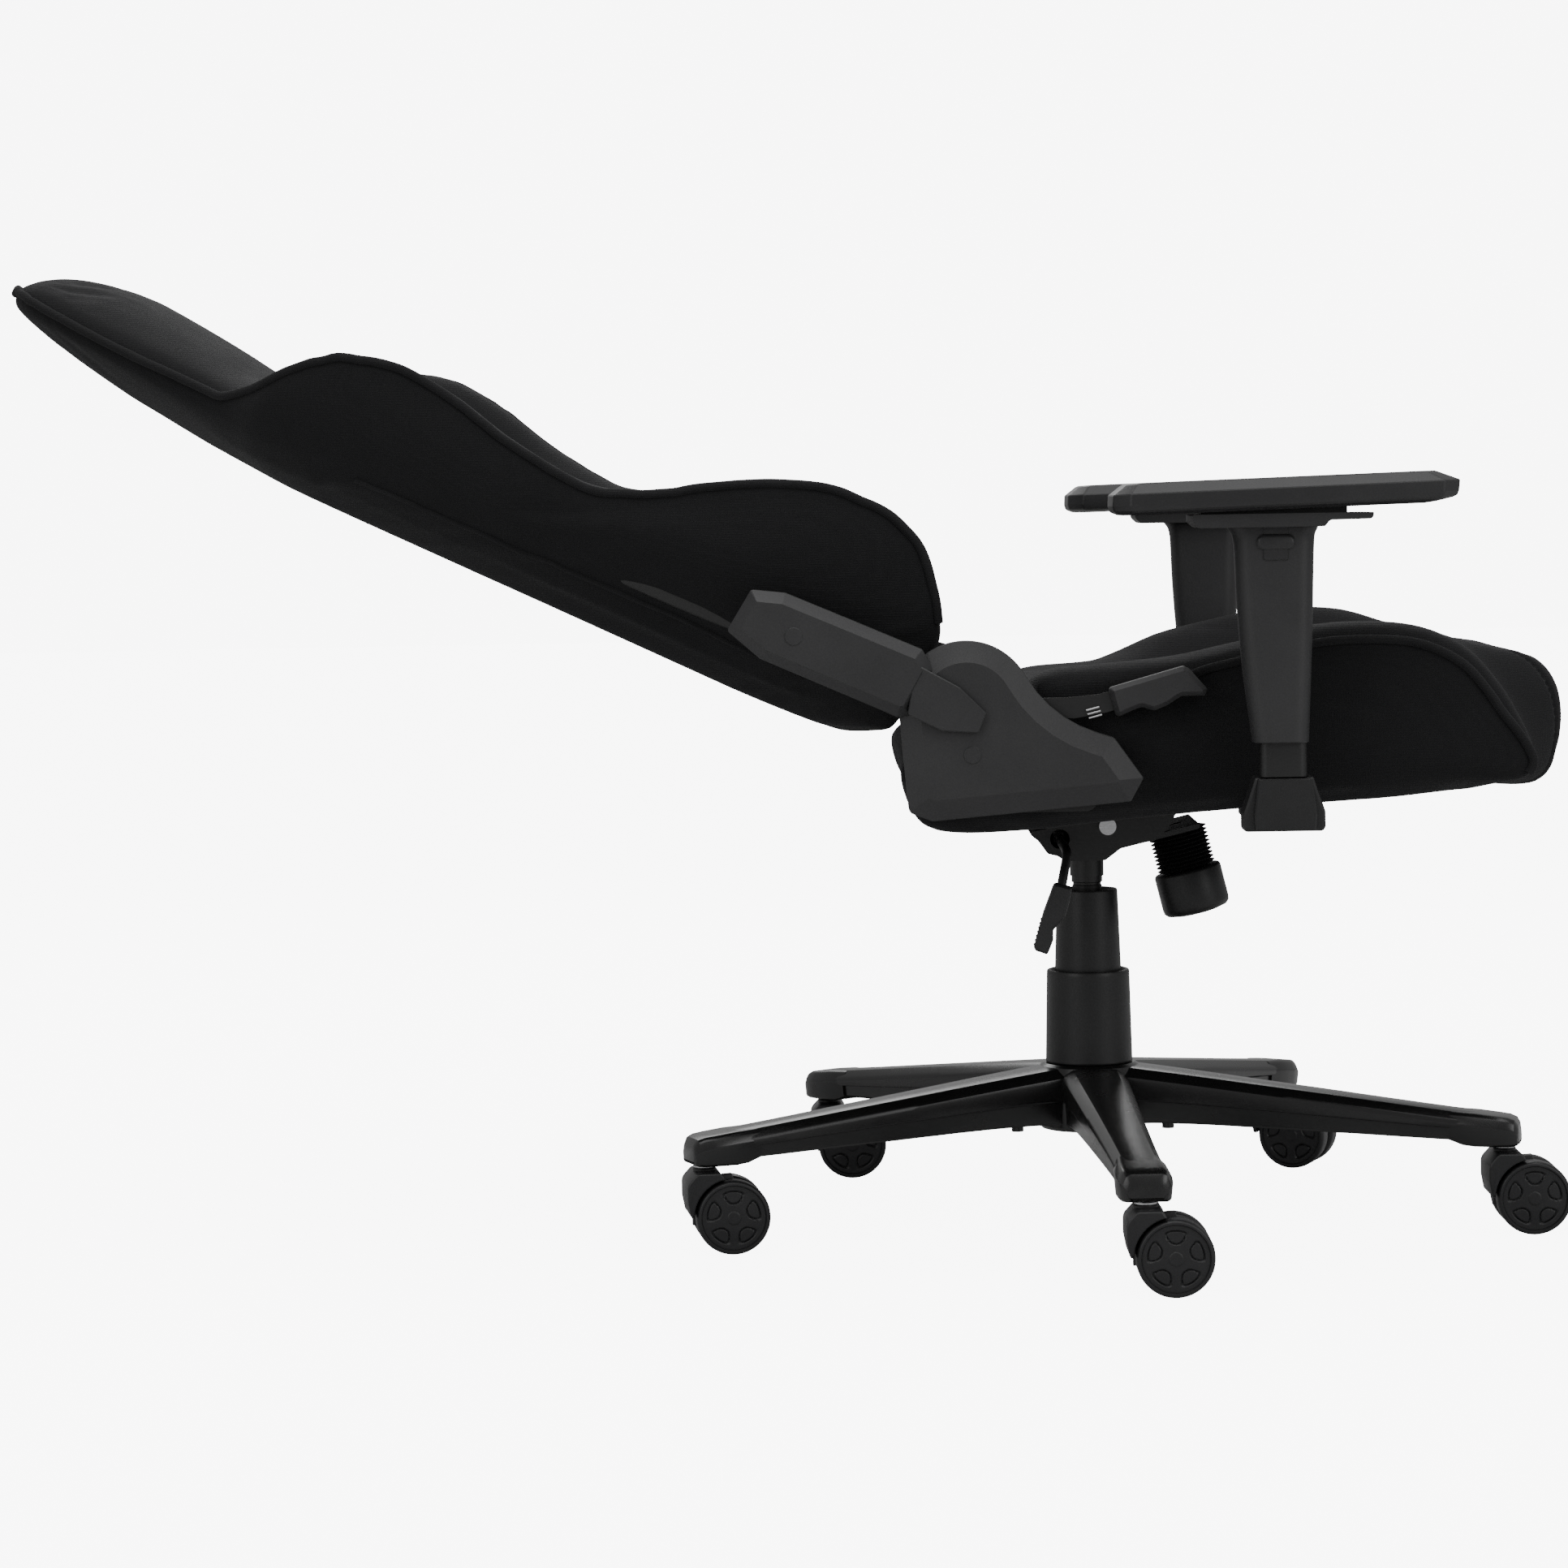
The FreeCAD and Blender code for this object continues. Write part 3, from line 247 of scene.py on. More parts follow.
FABRIC = fabric_material("black_fabric", (0.0045, 0.0045, 0.005), (0.015, 0.015, 0.016))
PIPING = fabric_material("piping_fabric", (0.007, 0.007, 0.0075), (0.020, 0.020, 0.021))
COVER = plastic_material("cover_plastic", (0.022, 0.022, 0.023), (0.030, 0.030, 0.031), 0.52)
SLEEVE = plastic_material("sleeve_plastic", (0.022, 0.022, 0.023), (0.029, 0.029, 0.030), 0.5)
PAD = plastic_material("pad_polyurethane", (0.017, 0.017, 0.018), (0.024, 0.024, 0.025), 0.42, grain=0.4)
BASE = plastic_material("base_nylon", (0.005, 0.005, 0.005), (0.008, 0.008, 0.008), 0.26, grain=0.12,
                        coat=0.2)
WHEEL = plastic_material("wheel_nylon", (0.009, 0.009, 0.010), (0.015, 0.015, 0.016), 0.42, grain=0.2)
LIFT = plastic_material("lift_plastic", (0.010, 0.010, 0.0105), (0.015, 0.015, 0.0155), 0.42, grain=0.2)
RUBBER = plastic_material("bellows_rubber", (0.005, 0.005, 0.005), (0.009, 0.009, 0.009), 0.5, grain=0.3)
STEEL_BLACK = metal_material("coated_steel", (0.012, 0.012, 0.012), 0.42, 0.0)
STEEL_BARE = metal_material("bare_steel", (0.62, 0.62, 0.63), 0.28, 1.0)


# ---- mesh helpers ----------------------------------------------------------------------------

def new_piece(name, vertices, faces, material, body, slot, replaced=(), sharp=35):
    mesh = bpy.data.meshes.new(name)
    mesh.from_pydata([tuple(v) for v in vertices], [], faces)
    return finish_mesh(name, mesh, material, body, replaced, sharp)


def finish_mesh(name, mesh, material, body, replaced=(), sharp=35):
    build = bmesh.new()
    build.from_mesh(mesh)
    bmesh.ops.remove_doubles(build, verts=build.verts, dist=1e-6)
    bmesh.ops.recalc_face_normals(build, faces=build.faces)
    for face in build.faces:
        face.smooth = True
    for edge in build.edges:
        edge.smooth = not edge.is_manifold or edge.calc_face_angle(0) < math.radians(sharp)
    build.to_mesh(mesh)
    build.free()
    piece = bpy.data.objects.new(name, mesh)
    bpy.context.scene.collection.objects.link(piece)
    mesh.materials.clear()
    mesh.materials.append(material)
    if body:
        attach(piece, body)
        if replaced:
            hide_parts(*replaced)
    return piece


def loft(rings, capped=True):
    """Vertices and faces of closed rings of equal count, joined in order."""
    count = len(rings[0])
    vertices = [v for ring in rings for v in ring]
    faces = []
    for row in range(len(rings) - 1):
        for i in range(count):
            j = (i + 1) % count
            faces.append((row * count + i, row * count + j, (row + 1) * count + j, (row + 1) * count + i))
    if capped:
        faces.append(tuple(range(count))[::-1])
        faces.append(tuple((len(rings) - 1) * count + i for i in range(count)))
    return vertices, faces


def merged(*meshes):
    """Several (vertices, faces) pairs as one."""
    vertices, faces = [], []
    for more_vertices, more_faces in meshes:
        start = len(vertices)
        vertices += [Vector(v) for v in more_vertices]
        faces += [tuple(start + i for i in face) for face in more_faces]
    return vertices, faces


def level_circle(radius, height, segments):
    """Points of a circle about Z, given in millimetres."""
    return [Vector((radius * math.cos(a), radius * math.sin(a), height)) * MM
            for a in np.linspace(0, math.tau, segments, endpoint=False)]


def moved(shape, matrix):
    return [matrix @ Vector(v) for v in shape[0]], shape[1]


def axis_matrix(origin, direction):
    """Places a shape made about +Z at an origin, with +Z along a direction."""
    return Matrix.Translation(origin) @ Vector(direction).to_track_quat("Z", "Y").to_matrix().to_4x4()


def revolve(profile, segments=72):
    """Turns (radius, height) points about Z."""
    rings = []
    for radius, height in profile:
        angles = [2 * math.pi * i / segments for i in range(segments)]
        rings.append([Vector((radius * math.cos(a), radius * math.sin(a), height)) for a in angles])
    return loft(rings)


def smooth(table, at):
    """Monotone cubic through a table of (x, y) points."""
    x, y = (np.array(column, float) for column in zip(*table))
    slopes = np.diff(y) / np.diff(x)
    tangent = np.zeros_like(y)
    tangent[0], tangent[-1] = slopes[0], slopes[-1]
    for i in range(1, len(x) - 1):
        if slopes[i - 1] * slopes[i] > 0:
            tangent[i] = 2 * slopes[i - 1] * slopes[i] / (slopes[i - 1] + slopes[i])
    at = np.clip(np.asarray(at, float), x[0], x[-1])
    i = np.clip(np.searchsorted(x, at) - 1, 0, len(x) - 2)
    width = x[i + 1] - x[i]
    t = (at - x[i]) / width
    return ((2 * t**3 - 3 * t**2 + 1) * y[i] + (t**3 - 2 * t**2 + t) * width * tangent[i]
            + (3 * t**2 - 2 * t**3) * y[i + 1] + (t**3 - t**2) * width * tangent[i + 1])


def through(points, count, closed=False):
    """Catmull-Rom curve through points, evenly spaced."""
    p = np.array([tuple(point) for point in points], float)
    if closed:
        p = np.vstack([p[-1], p, p[0], p[1]])
    else:
        p = np.vstack([2 * p[0] - p[1], p, 2 * p[-1] - p[-2]])
    t = np.linspace(0, 1, 24, endpoint=False)[:, None]
    runs = []
    for a, b, c, d in zip(p[:-3], p[1:-2], p[2:-1], p[3:]):
        runs.append(0.5 * (2 * b + (c - a) * t + (2 * a - 5 * b + 4 * c - d) * t**2
                           + (3 * b - a - 3 * c + d) * t**3))
    dense = np.vstack(runs + [p[-2][None]])
    along = np.concatenate([[0], np.cumsum(np.linalg.norm(np.diff(dense, axis=0), axis=1))])
    stations = np.linspace(0, along[-1], count + 1 if closed else count)
    even = np.stack([np.interp(stations, along, dense[:, k]) for k in range(dense.shape[1])], axis=1)
    return even[:-1] if closed else even


def tube(path, radius, segments=12, flat=1.0):
    """A round or flattened tube along a path, closed at its ends."""
    path = [Vector(p) for p in path]
    angles = [2 * math.pi * k / segments for k in range(segments)]
    rings = []
    normal = None
    for i, place in enumerate(path):
        ahead = (path[min(i + 1, len(path) - 1)] - path[max(i - 1, 0)]).normalized()
        if normal is None:
            normal = ahead.orthogonal().normalized()
        normal = (normal - ahead * normal.dot(ahead)).normalized()
        side = ahead.cross(normal)
        rings.append([place + normal * (radius * math.cos(a)) + side * (radius * flat * math.sin(a))
                      for a in angles])
    return loft(rings)


def corners(outline, default=0.0, steps=5):
    """Rounds the corners of (a, b[, radius]) points; returns 2-D points."""
    result = []
    count = len(outline)
    for i, corner in enumerate(outline):
        radius = corner[2] if len(corner) > 2 else default
        here = Vector(corner[:2])
        into = (here - Vector(outline[i - 1][:2])).normalized()
        out = (Vector(outline[(i + 1) % count][:2]) - here).normalized()
        half = into.angle(out) / 2
        if radius <= 0 or half < 1e-3:
            result.append(here)
            continue
        centre = here + (out - into).normalized() * radius / math.cos(half)
        start = here - into * radius * math.tan(half) - centre
        turn = math.atan2(into.x * out.y - into.y * out.x, into.dot(out))
        for k in range(steps + 1):
            angle = turn * k / steps
            result.append(centre + Matrix.Rotation(angle, 2) @ start)
    return result


def inset(points, distance):
    """A closed 2-D outline moved inwards."""
    count = len(points)
    area = sum(points[i - 1].cross(points[i]) for i in range(count))
    sign = math.copysign(1, area)
    result = []
    for i, here in enumerate(points):
        into = (here - points[i - 1]).normalized()
        out = (points[(i + 1) % count] - here).normalized()
        first = Vector((-into.y, into.x)) * sign
        second = Vector((-out.y, out.x)) * sign
        result.append(here + (first + second) * distance / max(0.35, 1 + first.dot(second)))
    return result


def on_side(points, x):
    """A (y, z) outline in millimetres as points in the row frame."""
    return [Vector((x, p[0], p[1])) * MM for p in points]


def plate_shape(outline, side, near, far, edge=1.2):
    """A slab with a YZ outline between two |X| values, with softened edges on both faces."""
    layers = [(near, edge), (near + edge * 0.3, edge * 0.3), (near + edge, 0), (far - edge, 0),
              (far - edge * 0.3, edge * 0.3), (far, edge)]
    return loft([on_side(inset(outline, d), side * x) for x, d in layers])


def disc_shape(y, z, side, near, far, radius, edge=0.6):
    profile = [(radius - edge, 0), (radius, edge), (radius, far - near - edge), (radius - edge, far - near)]
    turned = revolve([(r * MM, h * MM) for r, h in profile], 40)
    return moved(turned, axis_matrix(Vector((side * near, y, z)) * MM, (side, 0, 0)))


# ---- soft pieces: remesh, cloth inflation, sewn seams -----------------------------------------

VOXEL = 0.005
CLOTH_FRAMES = 16


def applied(piece):
    """Applies every modifier of a piece."""
    graph = bpy.context.evaluated_depsgraph_get()
    mesh = bpy.data.meshes.new_from_object(piece.evaluated_get(graph))
    piece.modifiers.clear()
    old = piece.data
    piece.data = mesh
    bpy.data.meshes.remove(old)


def coordinates(mesh):
    co = np.zeros(len(mesh.vertices) * 3)
    mesh.vertices.foreach_get("co", co)
    return co.reshape(-1, 3)


def set_coordinates(mesh, co):
    mesh.vertices.foreach_set("co", co.astype(np.float32).ravel())
    mesh.update()


def distance_to(paths, co, reach):
    """Each point's distance to the nearest of several dense paths, at most reach."""
    tree = KDTree(sum(len(path) for path in paths))
    index = 0
    for path in paths:
        for point in path:
            tree.insert(point, index)
            index += 1
    tree.balance()
    return np.array([min(tree.find(c)[2], reach) for c in co])


def inflate(piece, held, cap, pressure):
    """Swells a padded piece with cloth between its held seam lines, by at most cap."""
    before = coordinates(piece.data)
    gap = distance_to(held, before, 0.05)
    grip = piece.vertex_groups.new(name="seams")
    for weight, low, high in ((1.0, -1, 0.007), (0.5, 0.007, 0.013)):
        chosen = np.nonzero((gap > low) & (gap <= high))[0]
        grip.add([int(i) for i in chosen], weight, "REPLACE")
    cloth = piece.modifiers.new("cloth", "CLOTH")
    cloth.settings.quality = 4
    cloth.settings.mass = 0.3
    cloth.settings.tension_stiffness = 12
    cloth.settings.compression_stiffness = 8
    cloth.settings.bending_stiffness = 1.2
    cloth.settings.use_pressure = True
    cloth.settings.uniform_pressure_force = pressure
    cloth.settings.vertex_group_mass = "seams"
    cloth.settings.effector_weights.gravity = 0
    cloth.collision_settings.use_collision = False
    cloth.point_cache.frame_start = 1
    cloth.point_cache.frame_end = CLOTH_FRAMES
    scene = bpy.context.scene
    for number in range(1, CLOTH_FRAMES + 1):
        scene.frame_set(number)
    graph = bpy.context.evaluated_depsgraph_get()
    swollen = bpy.data.meshes.new_from_object(piece.evaluated_get(graph))
    after = coordinates(swollen)
    bpy.data.meshes.remove(swollen)
    piece.modifiers.clear()
    piece.vertex_groups.clear()
    scene.frame_set(1)
    shift = after - before
    length = np.linalg.norm(shift, axis=1, keepdims=True)
    set_coordinates(piece.data, before + shift * np.minimum(1, cap / np.maximum(length, 1e-9)))


def padded_piece(name, shape, held, body, replaced, cap, seams=(), pressure=4.0):
    """A foam-filled cover: remeshed, inflated by cloth, smoothed, then pulled in along its sewn seams."""
    mesh = bpy.data.meshes.new(name)
    mesh.from_pydata([tuple(v) for v in shape[0]], [], shape[1])
    piece = finish_mesh(name, mesh, FABRIC, body, replaced)
    remesh = piece.modifiers.new("remesh", "REMESH")
    remesh.mode = "VOXEL"
    remesh.voxel_size = VOXEL
    applied(piece)
    inflate(piece, held, cap, pressure)
    relax = piece.modifiers.new("relax", "SMOOTH")
    relax.factor = 0.5
    relax.iterations = 3
    divide = piece.modifiers.new("divide", "SUBSURF")
    divide.levels = divide.render_levels = 1
    applied(piece)
    piece.data.polygons.foreach_set("use_smooth", [True] * len(piece.data.polygons))
    for path, depth, width in seams:
        sew(piece, path, depth, width)
    piece.data.materials.clear()
    piece.data.materials.append(FABRIC)
    return piece


def sew(piece, path, depth, width):
    """Pulls the surface in along a seam path."""
    co = coordinates(piece.data)
    normals = np.zeros(len(co) * 3)
    piece.data.vertices.foreach_get("normal", normals)
    normals = normals.reshape(-1, 3)
    gap = distance_to([path], co, width * 3)
    pull = depth * np.exp(-(gap / width) ** 2) * (gap < width * 2.9)
    set_coordinates(piece.data, co - normals * pull[:, None])


def laid_on(piece, path, stand):
    """Moves path points onto a piece's surface, standing proud of it."""
    graph = bpy.context.evaluated_depsgraph_get()
    tree = BVHTree.FromObject(piece, graph)
    result = []
    for point in path:
        place, normal, _, _ = tree.find_nearest(Vector(point))
        result.append(place + normal * stand)
    return through(result[::2], len(result)) if len(result) > 8 else result


# ---- backrest ---------------------------------------------------------------------------------

RECLINE = Vector(JOINTS["recline"]["pos_m"]) / MM
BACK_ANGLE = math.radians(25.3)
CREST = [(36, 36), (60, 74), (86, 101), (124, 113), (150, 113), (200, 100), (250, 74), (300, 45), (340, 34),
         (400, 41), (460, 55), (500, 59), (540, 51), (580, 24), (606, -6), (630, -21), (700, -21),
         (804, -15), (823, -14)]
MIDDLE = [(36, 30), (110, 33), (200, 27), (330, 10), (450, 6), (560, 6), (613, 3), (656, 8), (700, 13),
          (751, 17), (780, 18), (799, 12), (815, -1), (823, -10)]
REAR = [(36, -44), (92, -52), (175, -55), (495, -55), (620, -53), (695, -46), (779, -37), (805, -32),
        (823, -24)]
HALF_WIDTH = [(36, 246), (60, 256), (150, 259), (300, 258), (420, 264), (530, 264), (585, 248), (620, 214),
              (660, 193), (710, 184), (770, 176), (800, 164), (815, 146), (823, 126)]
BACK_START = 37
PIPE_RADIUS = 3.5
SEAM_WIDTH = 3.0
BOLSTER_SWELL = 7


def on_back(x, along, front):
    """A point from its x, its distance along the back from the hinge and its height off the back's plane."""
    y = RECLINE.y + along * math.cos(BACK_ANGLE) - front * math.sin(BACK_ANGLE)
    z = RECLINE.z + along * math.sin(BACK_ANGLE) + front * math.cos(BACK_ANGLE)
    return Vector((x, y, z)) * MM


def ease(value):
    value = min(1.0, max(0.0, value))
    return value * value * (3 - 2 * value)


def back_front(along, share):
    """Front surface height at a share of the half width: dished centre, bolster wings, pillowed head."""
    middle, crest = float(smooth(MIDDLE, along)), float(smooth(CREST, along))
    head = ease((along - 570) / 60)
    wing = ease((share - 0.60) / 0.34)
    swell = BOLSTER_SWELL * math.sin(math.pi * min(1, max(0, (share - 0.62) / 0.38))) ** 2
    bolster = middle + (crest - middle) * wing + swell
    pillow = middle + (crest - middle) * (1 - math.sqrt(max(0.0, 1 - max(0.0, (share - 0.25) / 0.75) ** 2.4)))
    return bolster * (1 - head) + pillow * head


def back_ring(along, shrink=1.0):
    """One closed cross-section of the backrest."""
    half = float(smooth(HALF_WIDTH, along)) * shrink
    rear, crest = float(smooth(REAR, along)), float(smooth(CREST, along))
    middle = float(smooth(MIDDLE, along))
    core = (middle + rear) / 2
    points = []
    for share in np.linspace(0, 0.995, 34):
        points.append((half * share, back_front(along, share)))
    narrow = 24
    for v in np.linspace(0, 1, 14):
        swell = 4.5 * math.sin(math.pi * v) * (1 - v * 0.4)
        turn = ease((v - 0.72) / 0.28)
        points.append((half - narrow * v**1.8 + swell - 10 * turn, crest + (rear - crest) * v))
    for share in np.linspace(0.9, 0, 14):
        points.append(((half - narrow - 10) * share, rear - 2.5 * (1 - share**2)))
    points = [(x, core + (n - core) * shrink) for x, n in points]
    mirror = [(-x, n) for x, n in points[1:-1]][::-1]
    return [on_back(x, along, n) for x, n in points + mirror]


def crest_path(side, low, high, count=160):
    stations = np.linspace(low, high, count)
    return [on_back(side * float(smooth(HALF_WIDTH, s)), s, float(smooth(CREST, s))) for s in stations]


def head_rim():
    """The piping line round the head's end, from one side to the other."""
    line = [(s, float(smooth(HALF_WIDTH, s))) for s in (700, 740, 770, 790)]
    bend = [(806, 150), (813, 120), (816, 60), (817, 0)]
    right = [on_back(-x, s, float(smooth(CREST, min(s, 804)))) for s, x in line + bend]
    left = [Vector((-p.x, p.y, p.z)) for p in right[:-1]][::-1]
    return right + left


def make_backrest():
    stations = [BACK_START + 2, *np.linspace(BACK_START + 6, 790, 130), *np.linspace(794, 816, 10)]
    rings = [back_ring(BACK_START, 0.88)] + [back_ring(s) for s in stations]
    rings += [back_ring(820, 0.93), back_ring(822.5, 0.8)]
    sides = [crest_path(side, BACK_START + 3, 700) for _, side in SIDES]
    rim = through(head_rim(), 240)
    insert = {side: [on_back(side * float(smooth(HALF_WIDTH, s)) * 0.62, s, back_front(s, 0.62))
                     for s in np.linspace(60, 590, 150)] for _, side in SIDES}
    cross = [on_back(x, 600, back_front(600, abs(x) / 240)) for x in np.linspace(-196, 196, 90)]
    half = float(smooth(HALF_WIDTH, 636)) + 3
    shoulder = {side: [on_back(side * (half - 20 * v**1.8), 636 + 22 * v, -22 - 28 * v)
                       for v in np.linspace(0, 1, 24)] for _, side in SIDES}
    seams = [(insert[side], 0.0028, SEAM_WIDTH * MM) for _, side in SIDES]
    seams += [(shoulder[side], 0.0016, 0.0018) for _, side in SIDES] + [(cross, 0.0024, SEAM_WIDTH * MM)]
    held = sides + [rim] + list(insert.values()) + [cross]
    back = padded_piece("backrest_cover", loft(rings), held, "backrest", ["back_cushion"], 0.009, seams)
    for name, side in SIDES:
        run = laid_on(back, crest_path(side, BACK_START + 8, 716), PIPE_RADIUS * 0.45 * MM)
        piping(f"back_piping_{name}", run, "backrest")
    piping("head_piping", laid_on(back, rim, PIPE_RADIUS * 0.45 * MM), "backrest")
    for name, side in SIDES:
        flap = [on_back(side * (float(smooth(HALF_WIDTH, s)) - 12), s, float(smooth(REAR, s)) + 14)
                for s in np.linspace(70, 506, 110)]
        strip = tube(laid_on(back, flap, 0.0002), 0.0032, segments=10, flat=0.45)
        new_piece(f"zip_flap_{name}", *strip, PIPING, "backrest", "fabric")


def piping(name, path, body):
    new_piece(name, *tube(path, PIPE_RADIUS * MM, segments=14), PIPING, body, "fabric")


# ---- seat -------------------------------------------------------------------------------------

CENTRE_LOOP = [
    (52, 452), (-40, 449), (-110, 447), (-170, 449), (-225, 455), (-275, 465), (-315, 474), (-340, 475),
    (-358, 466), (-370, 447), (-373, 422), (-369, 396), (-361, 376), (-340, 368), (-280, 373), (-214, 371),
    (-150, 367), (-88, 363), (-10, 357), (69, 350), (134, 350), (151, 359), (159, 382), (157, 404),
    (110, 419), (66, 432),
]
WING_LOOP = [
    (50, 467), (-3, 473), (-55, 478), (-108, 489), (-164, 501), (-212, 503), (-250, 498), (-284, 481),
    (-308, 454), (-324, 427), (-333, 405), (-334, 390), (-326, 380), (-302, 377), (-270, 376), (-214, 371),
    (-150, 367), (-88, 363), (-10, 357), (69, 350), (134, 350), (151, 359), (159, 382), (157, 404),
    (100, 423), (60, 440),
]
SEAT_HALF = 256
SEAT_EDGE_DROP = 13
LOOP_COUNT = 190
FAR_WING_DROP = 16


def loop_normals(loop):
    ahead = np.roll(loop, -1, axis=0) - np.roll(loop, 1, axis=0)
    ahead /= np.linalg.norm(ahead, axis=1, keepdims=True)
    return np.stack([-ahead[:, 1], ahead[:, 0]], axis=1)


def seat_loop(x):
    """The seat's closed YZ outline at one x: flat centre, raised wings, rounded over at the sides."""
    wing = ease((abs(x) - 128) / 84)
    blend_loop = [((1 - wing) * c[0] + wing * w[0], (1 - wing) * c[1] + wing * w[1])
                  for c, w in zip(CENTRE_LOOP, WING_LOOP)]
    loop = through(blend_loop, LOOP_COUNT, closed=True)
    over = max(0.0, (abs(x) - (SEAT_HALF - 24)) / 24)
    drop = SEAT_EDGE_DROP * (1 - math.sqrt(max(0.0, 1 - min(over, 1) ** 2)))
    upper = np.clip((loop[:, 1] - 380) / 60, 0.25, 1)
    loop = loop + loop_normals(loop) * (drop * upper)[:, None]
    if x > 0:
        back = np.clip((loop[:, 0] + 85) / 75, 0, 1)
        raised = np.clip((loop[:, 1] - 430) / 20, 0, 1)
        loop[:, 1] -= FAR_WING_DROP * wing * back * back * (3 - 2 * back) * raised
    return loop


def seat_shape():
    edge = seat_loop(SEAT_HALF)
    centre = np.array([-90.0, 415.0])
    ends = {side: [[Vector((side * (SEAT_HALF + out), *(centre + (p - centre) * scale))) * MM for p in edge]
                   for out, scale in ((5, 0.72), (4, 0.86), (2, 0.95))] for _, side in SIDES}
    rings = [[Vector((x, *p)) * MM for p in seat_loop(x)] for x in np.linspace(-SEAT_HALF, SEAT_HALF, 120)]
    return loft(ends[-1] + rings + ends[1][::-1])


def make_seat():
    edge = seat_loop(SEAT_HALF)
    start = int(np.argmin(np.linalg.norm(edge - np.array([50, 456]), axis=1)))
    stop = int(np.argmin(np.linalg.norm(edge - np.array([-318, 378]), axis=1)))
    indices = list(range(start, stop)) if start < stop else list(range(start, LOOP_COUNT)) + list(range(stop))
    rims = {side: [Vector((side * (SEAT_HALF + 1), *edge[i])) * MM for i in indices] for _, side in SIDES}
    crease_x = 150
    crease = {side: [Vector((side * crease_x, *p)) * MM for p in seat_loop(crease_x)[:LOOP_COUNT // 2]]
              for _, side in SIDES}
    seams = [(crease[side], 0.003, SEAM_WIDTH * MM) for _, side in SIDES]
    held = list(rims.values()) + list(crease.values())
    seat = padded_piece("seat_cover", seat_shape(), held, "seat", ["seat_cushion"], 0.006, seams)
    for name, side in SIDES:
        piping(f"seat_piping_{name}", laid_on(seat, through(rims[side], 150), PIPE_RADIUS * 0.4 * MM), "seat")


# ---- side covers and recline lever -----------------------------------------------------------

HINGE = (RECLINE.y, RECLINE.z)
COVER_FOOT = [(-6, 419, 5), (-28, 388, 2), (-18, 370, 2), (134, 357, 4), (152, 364, 6)]
LOWER_COVERS = {
    "right": (52, [(42, 434.4, 95)] + COVER_FOOT),
    "left": (27, [(75, 442.5, 6), (24, 424.4, 12)] + COVER_FOOT),
}
UPPER_COVER = [(270, 537, 3), (244, 534, 5), (196, 513.4, 0), (140, 489, 3), (131, 473, 3), (150, 439, 4),
               (160, 438, 4), (212, 461, 0), (264, 484, 5), (289, 506, 3)]
CREASE_CORNERS = (2, 7)
ARROW = [(146, 479, 2), (112, 460, 4), (92, 440, 2), (98, 425, 2), (126, 427, 6), (152, 440, 3)]
GRIP = [(-2, 457, 3), (-60, 473, 3), (-64, 471, 2), (-78, 455, 2), (-76, 450, 2), (-58, 450, 5),
        (-47, 443, 5), (-37, 439, 5), (-27, 442, 5), (-19, 439, 5), (-8, 434, 3)]


def facet_rings(outline, side, levels):
    """Rings of a YZ outline at several |X| values, each inset by its own amount, with concentric corners."""
    raw = [Vector(corner[:2]) for corner in outline]
    sign = math.copysign(1, sum(raw[i - 1].cross(raw[i]) for i in range(len(raw))))
    rings = []
    for x, depth in levels:
        ring = inset(raw, depth) if depth else raw
        rounded = []
        for i, (place, corner) in enumerate(zip(ring, outline)):
            radius = corner[2] if len(corner) > 2 else 0
            if radius:
                bend = (raw[i] - raw[i - 1]).cross(raw[(i + 1) % len(raw)] - raw[i]) * sign
                radius = max(0.3, radius - depth) if bend > 0 else radius + depth
            rounded.append((place.x, place.y, radius))
        rings.append(on_side(corners(rounded), side * x))
    return rings


def facets(outline, side, levels):
    return loft(facet_rings(outline, side, levels))


def lower_cover_outline(radius, foot):
    arc = [(HINGE[0] + radius * math.cos(a), HINGE[1] + radius * math.sin(a))
           for a in np.radians(np.linspace(4, 150, 34))]
    return arc + foot


def upper_cover_shape(side):
    """The upper cover: bevelled edges round a face with one shallow crease across it."""
    rings = facet_rings(UPPER_COVER, side, [(272, 0), (289, 0), (289.8, 0.6)])
    plateau = facet_rings(UPPER_COVER, side, [(300, 8.5)])[0]
    counts = [6 if corner[2] > 0 else 1 for corner in UPPER_COVER]
    first, second = (sum(counts[:i]) for i in CREASE_CORNERS)
    start, stop = plateau[first], plateau[second]
    line = Vector((stop.y - start.y, stop.z - start.z)).normalized()
    for point in plateau:
        away = abs((point.y - start.y) * line.y - (point.z - start.z) * line.x)
        point.x -= side * (away * 0.035 - 1.6 * MM)
    vertices, faces = loft(rings + [plateau])
    top = len(vertices) - len(plateau)
    faces.pop()
    face = [top + i for i in range(len(plateau))]
    faces += [tuple(face[first:second + 1]), tuple(face[second:] + face[:first + 1])]
    return vertices, faces


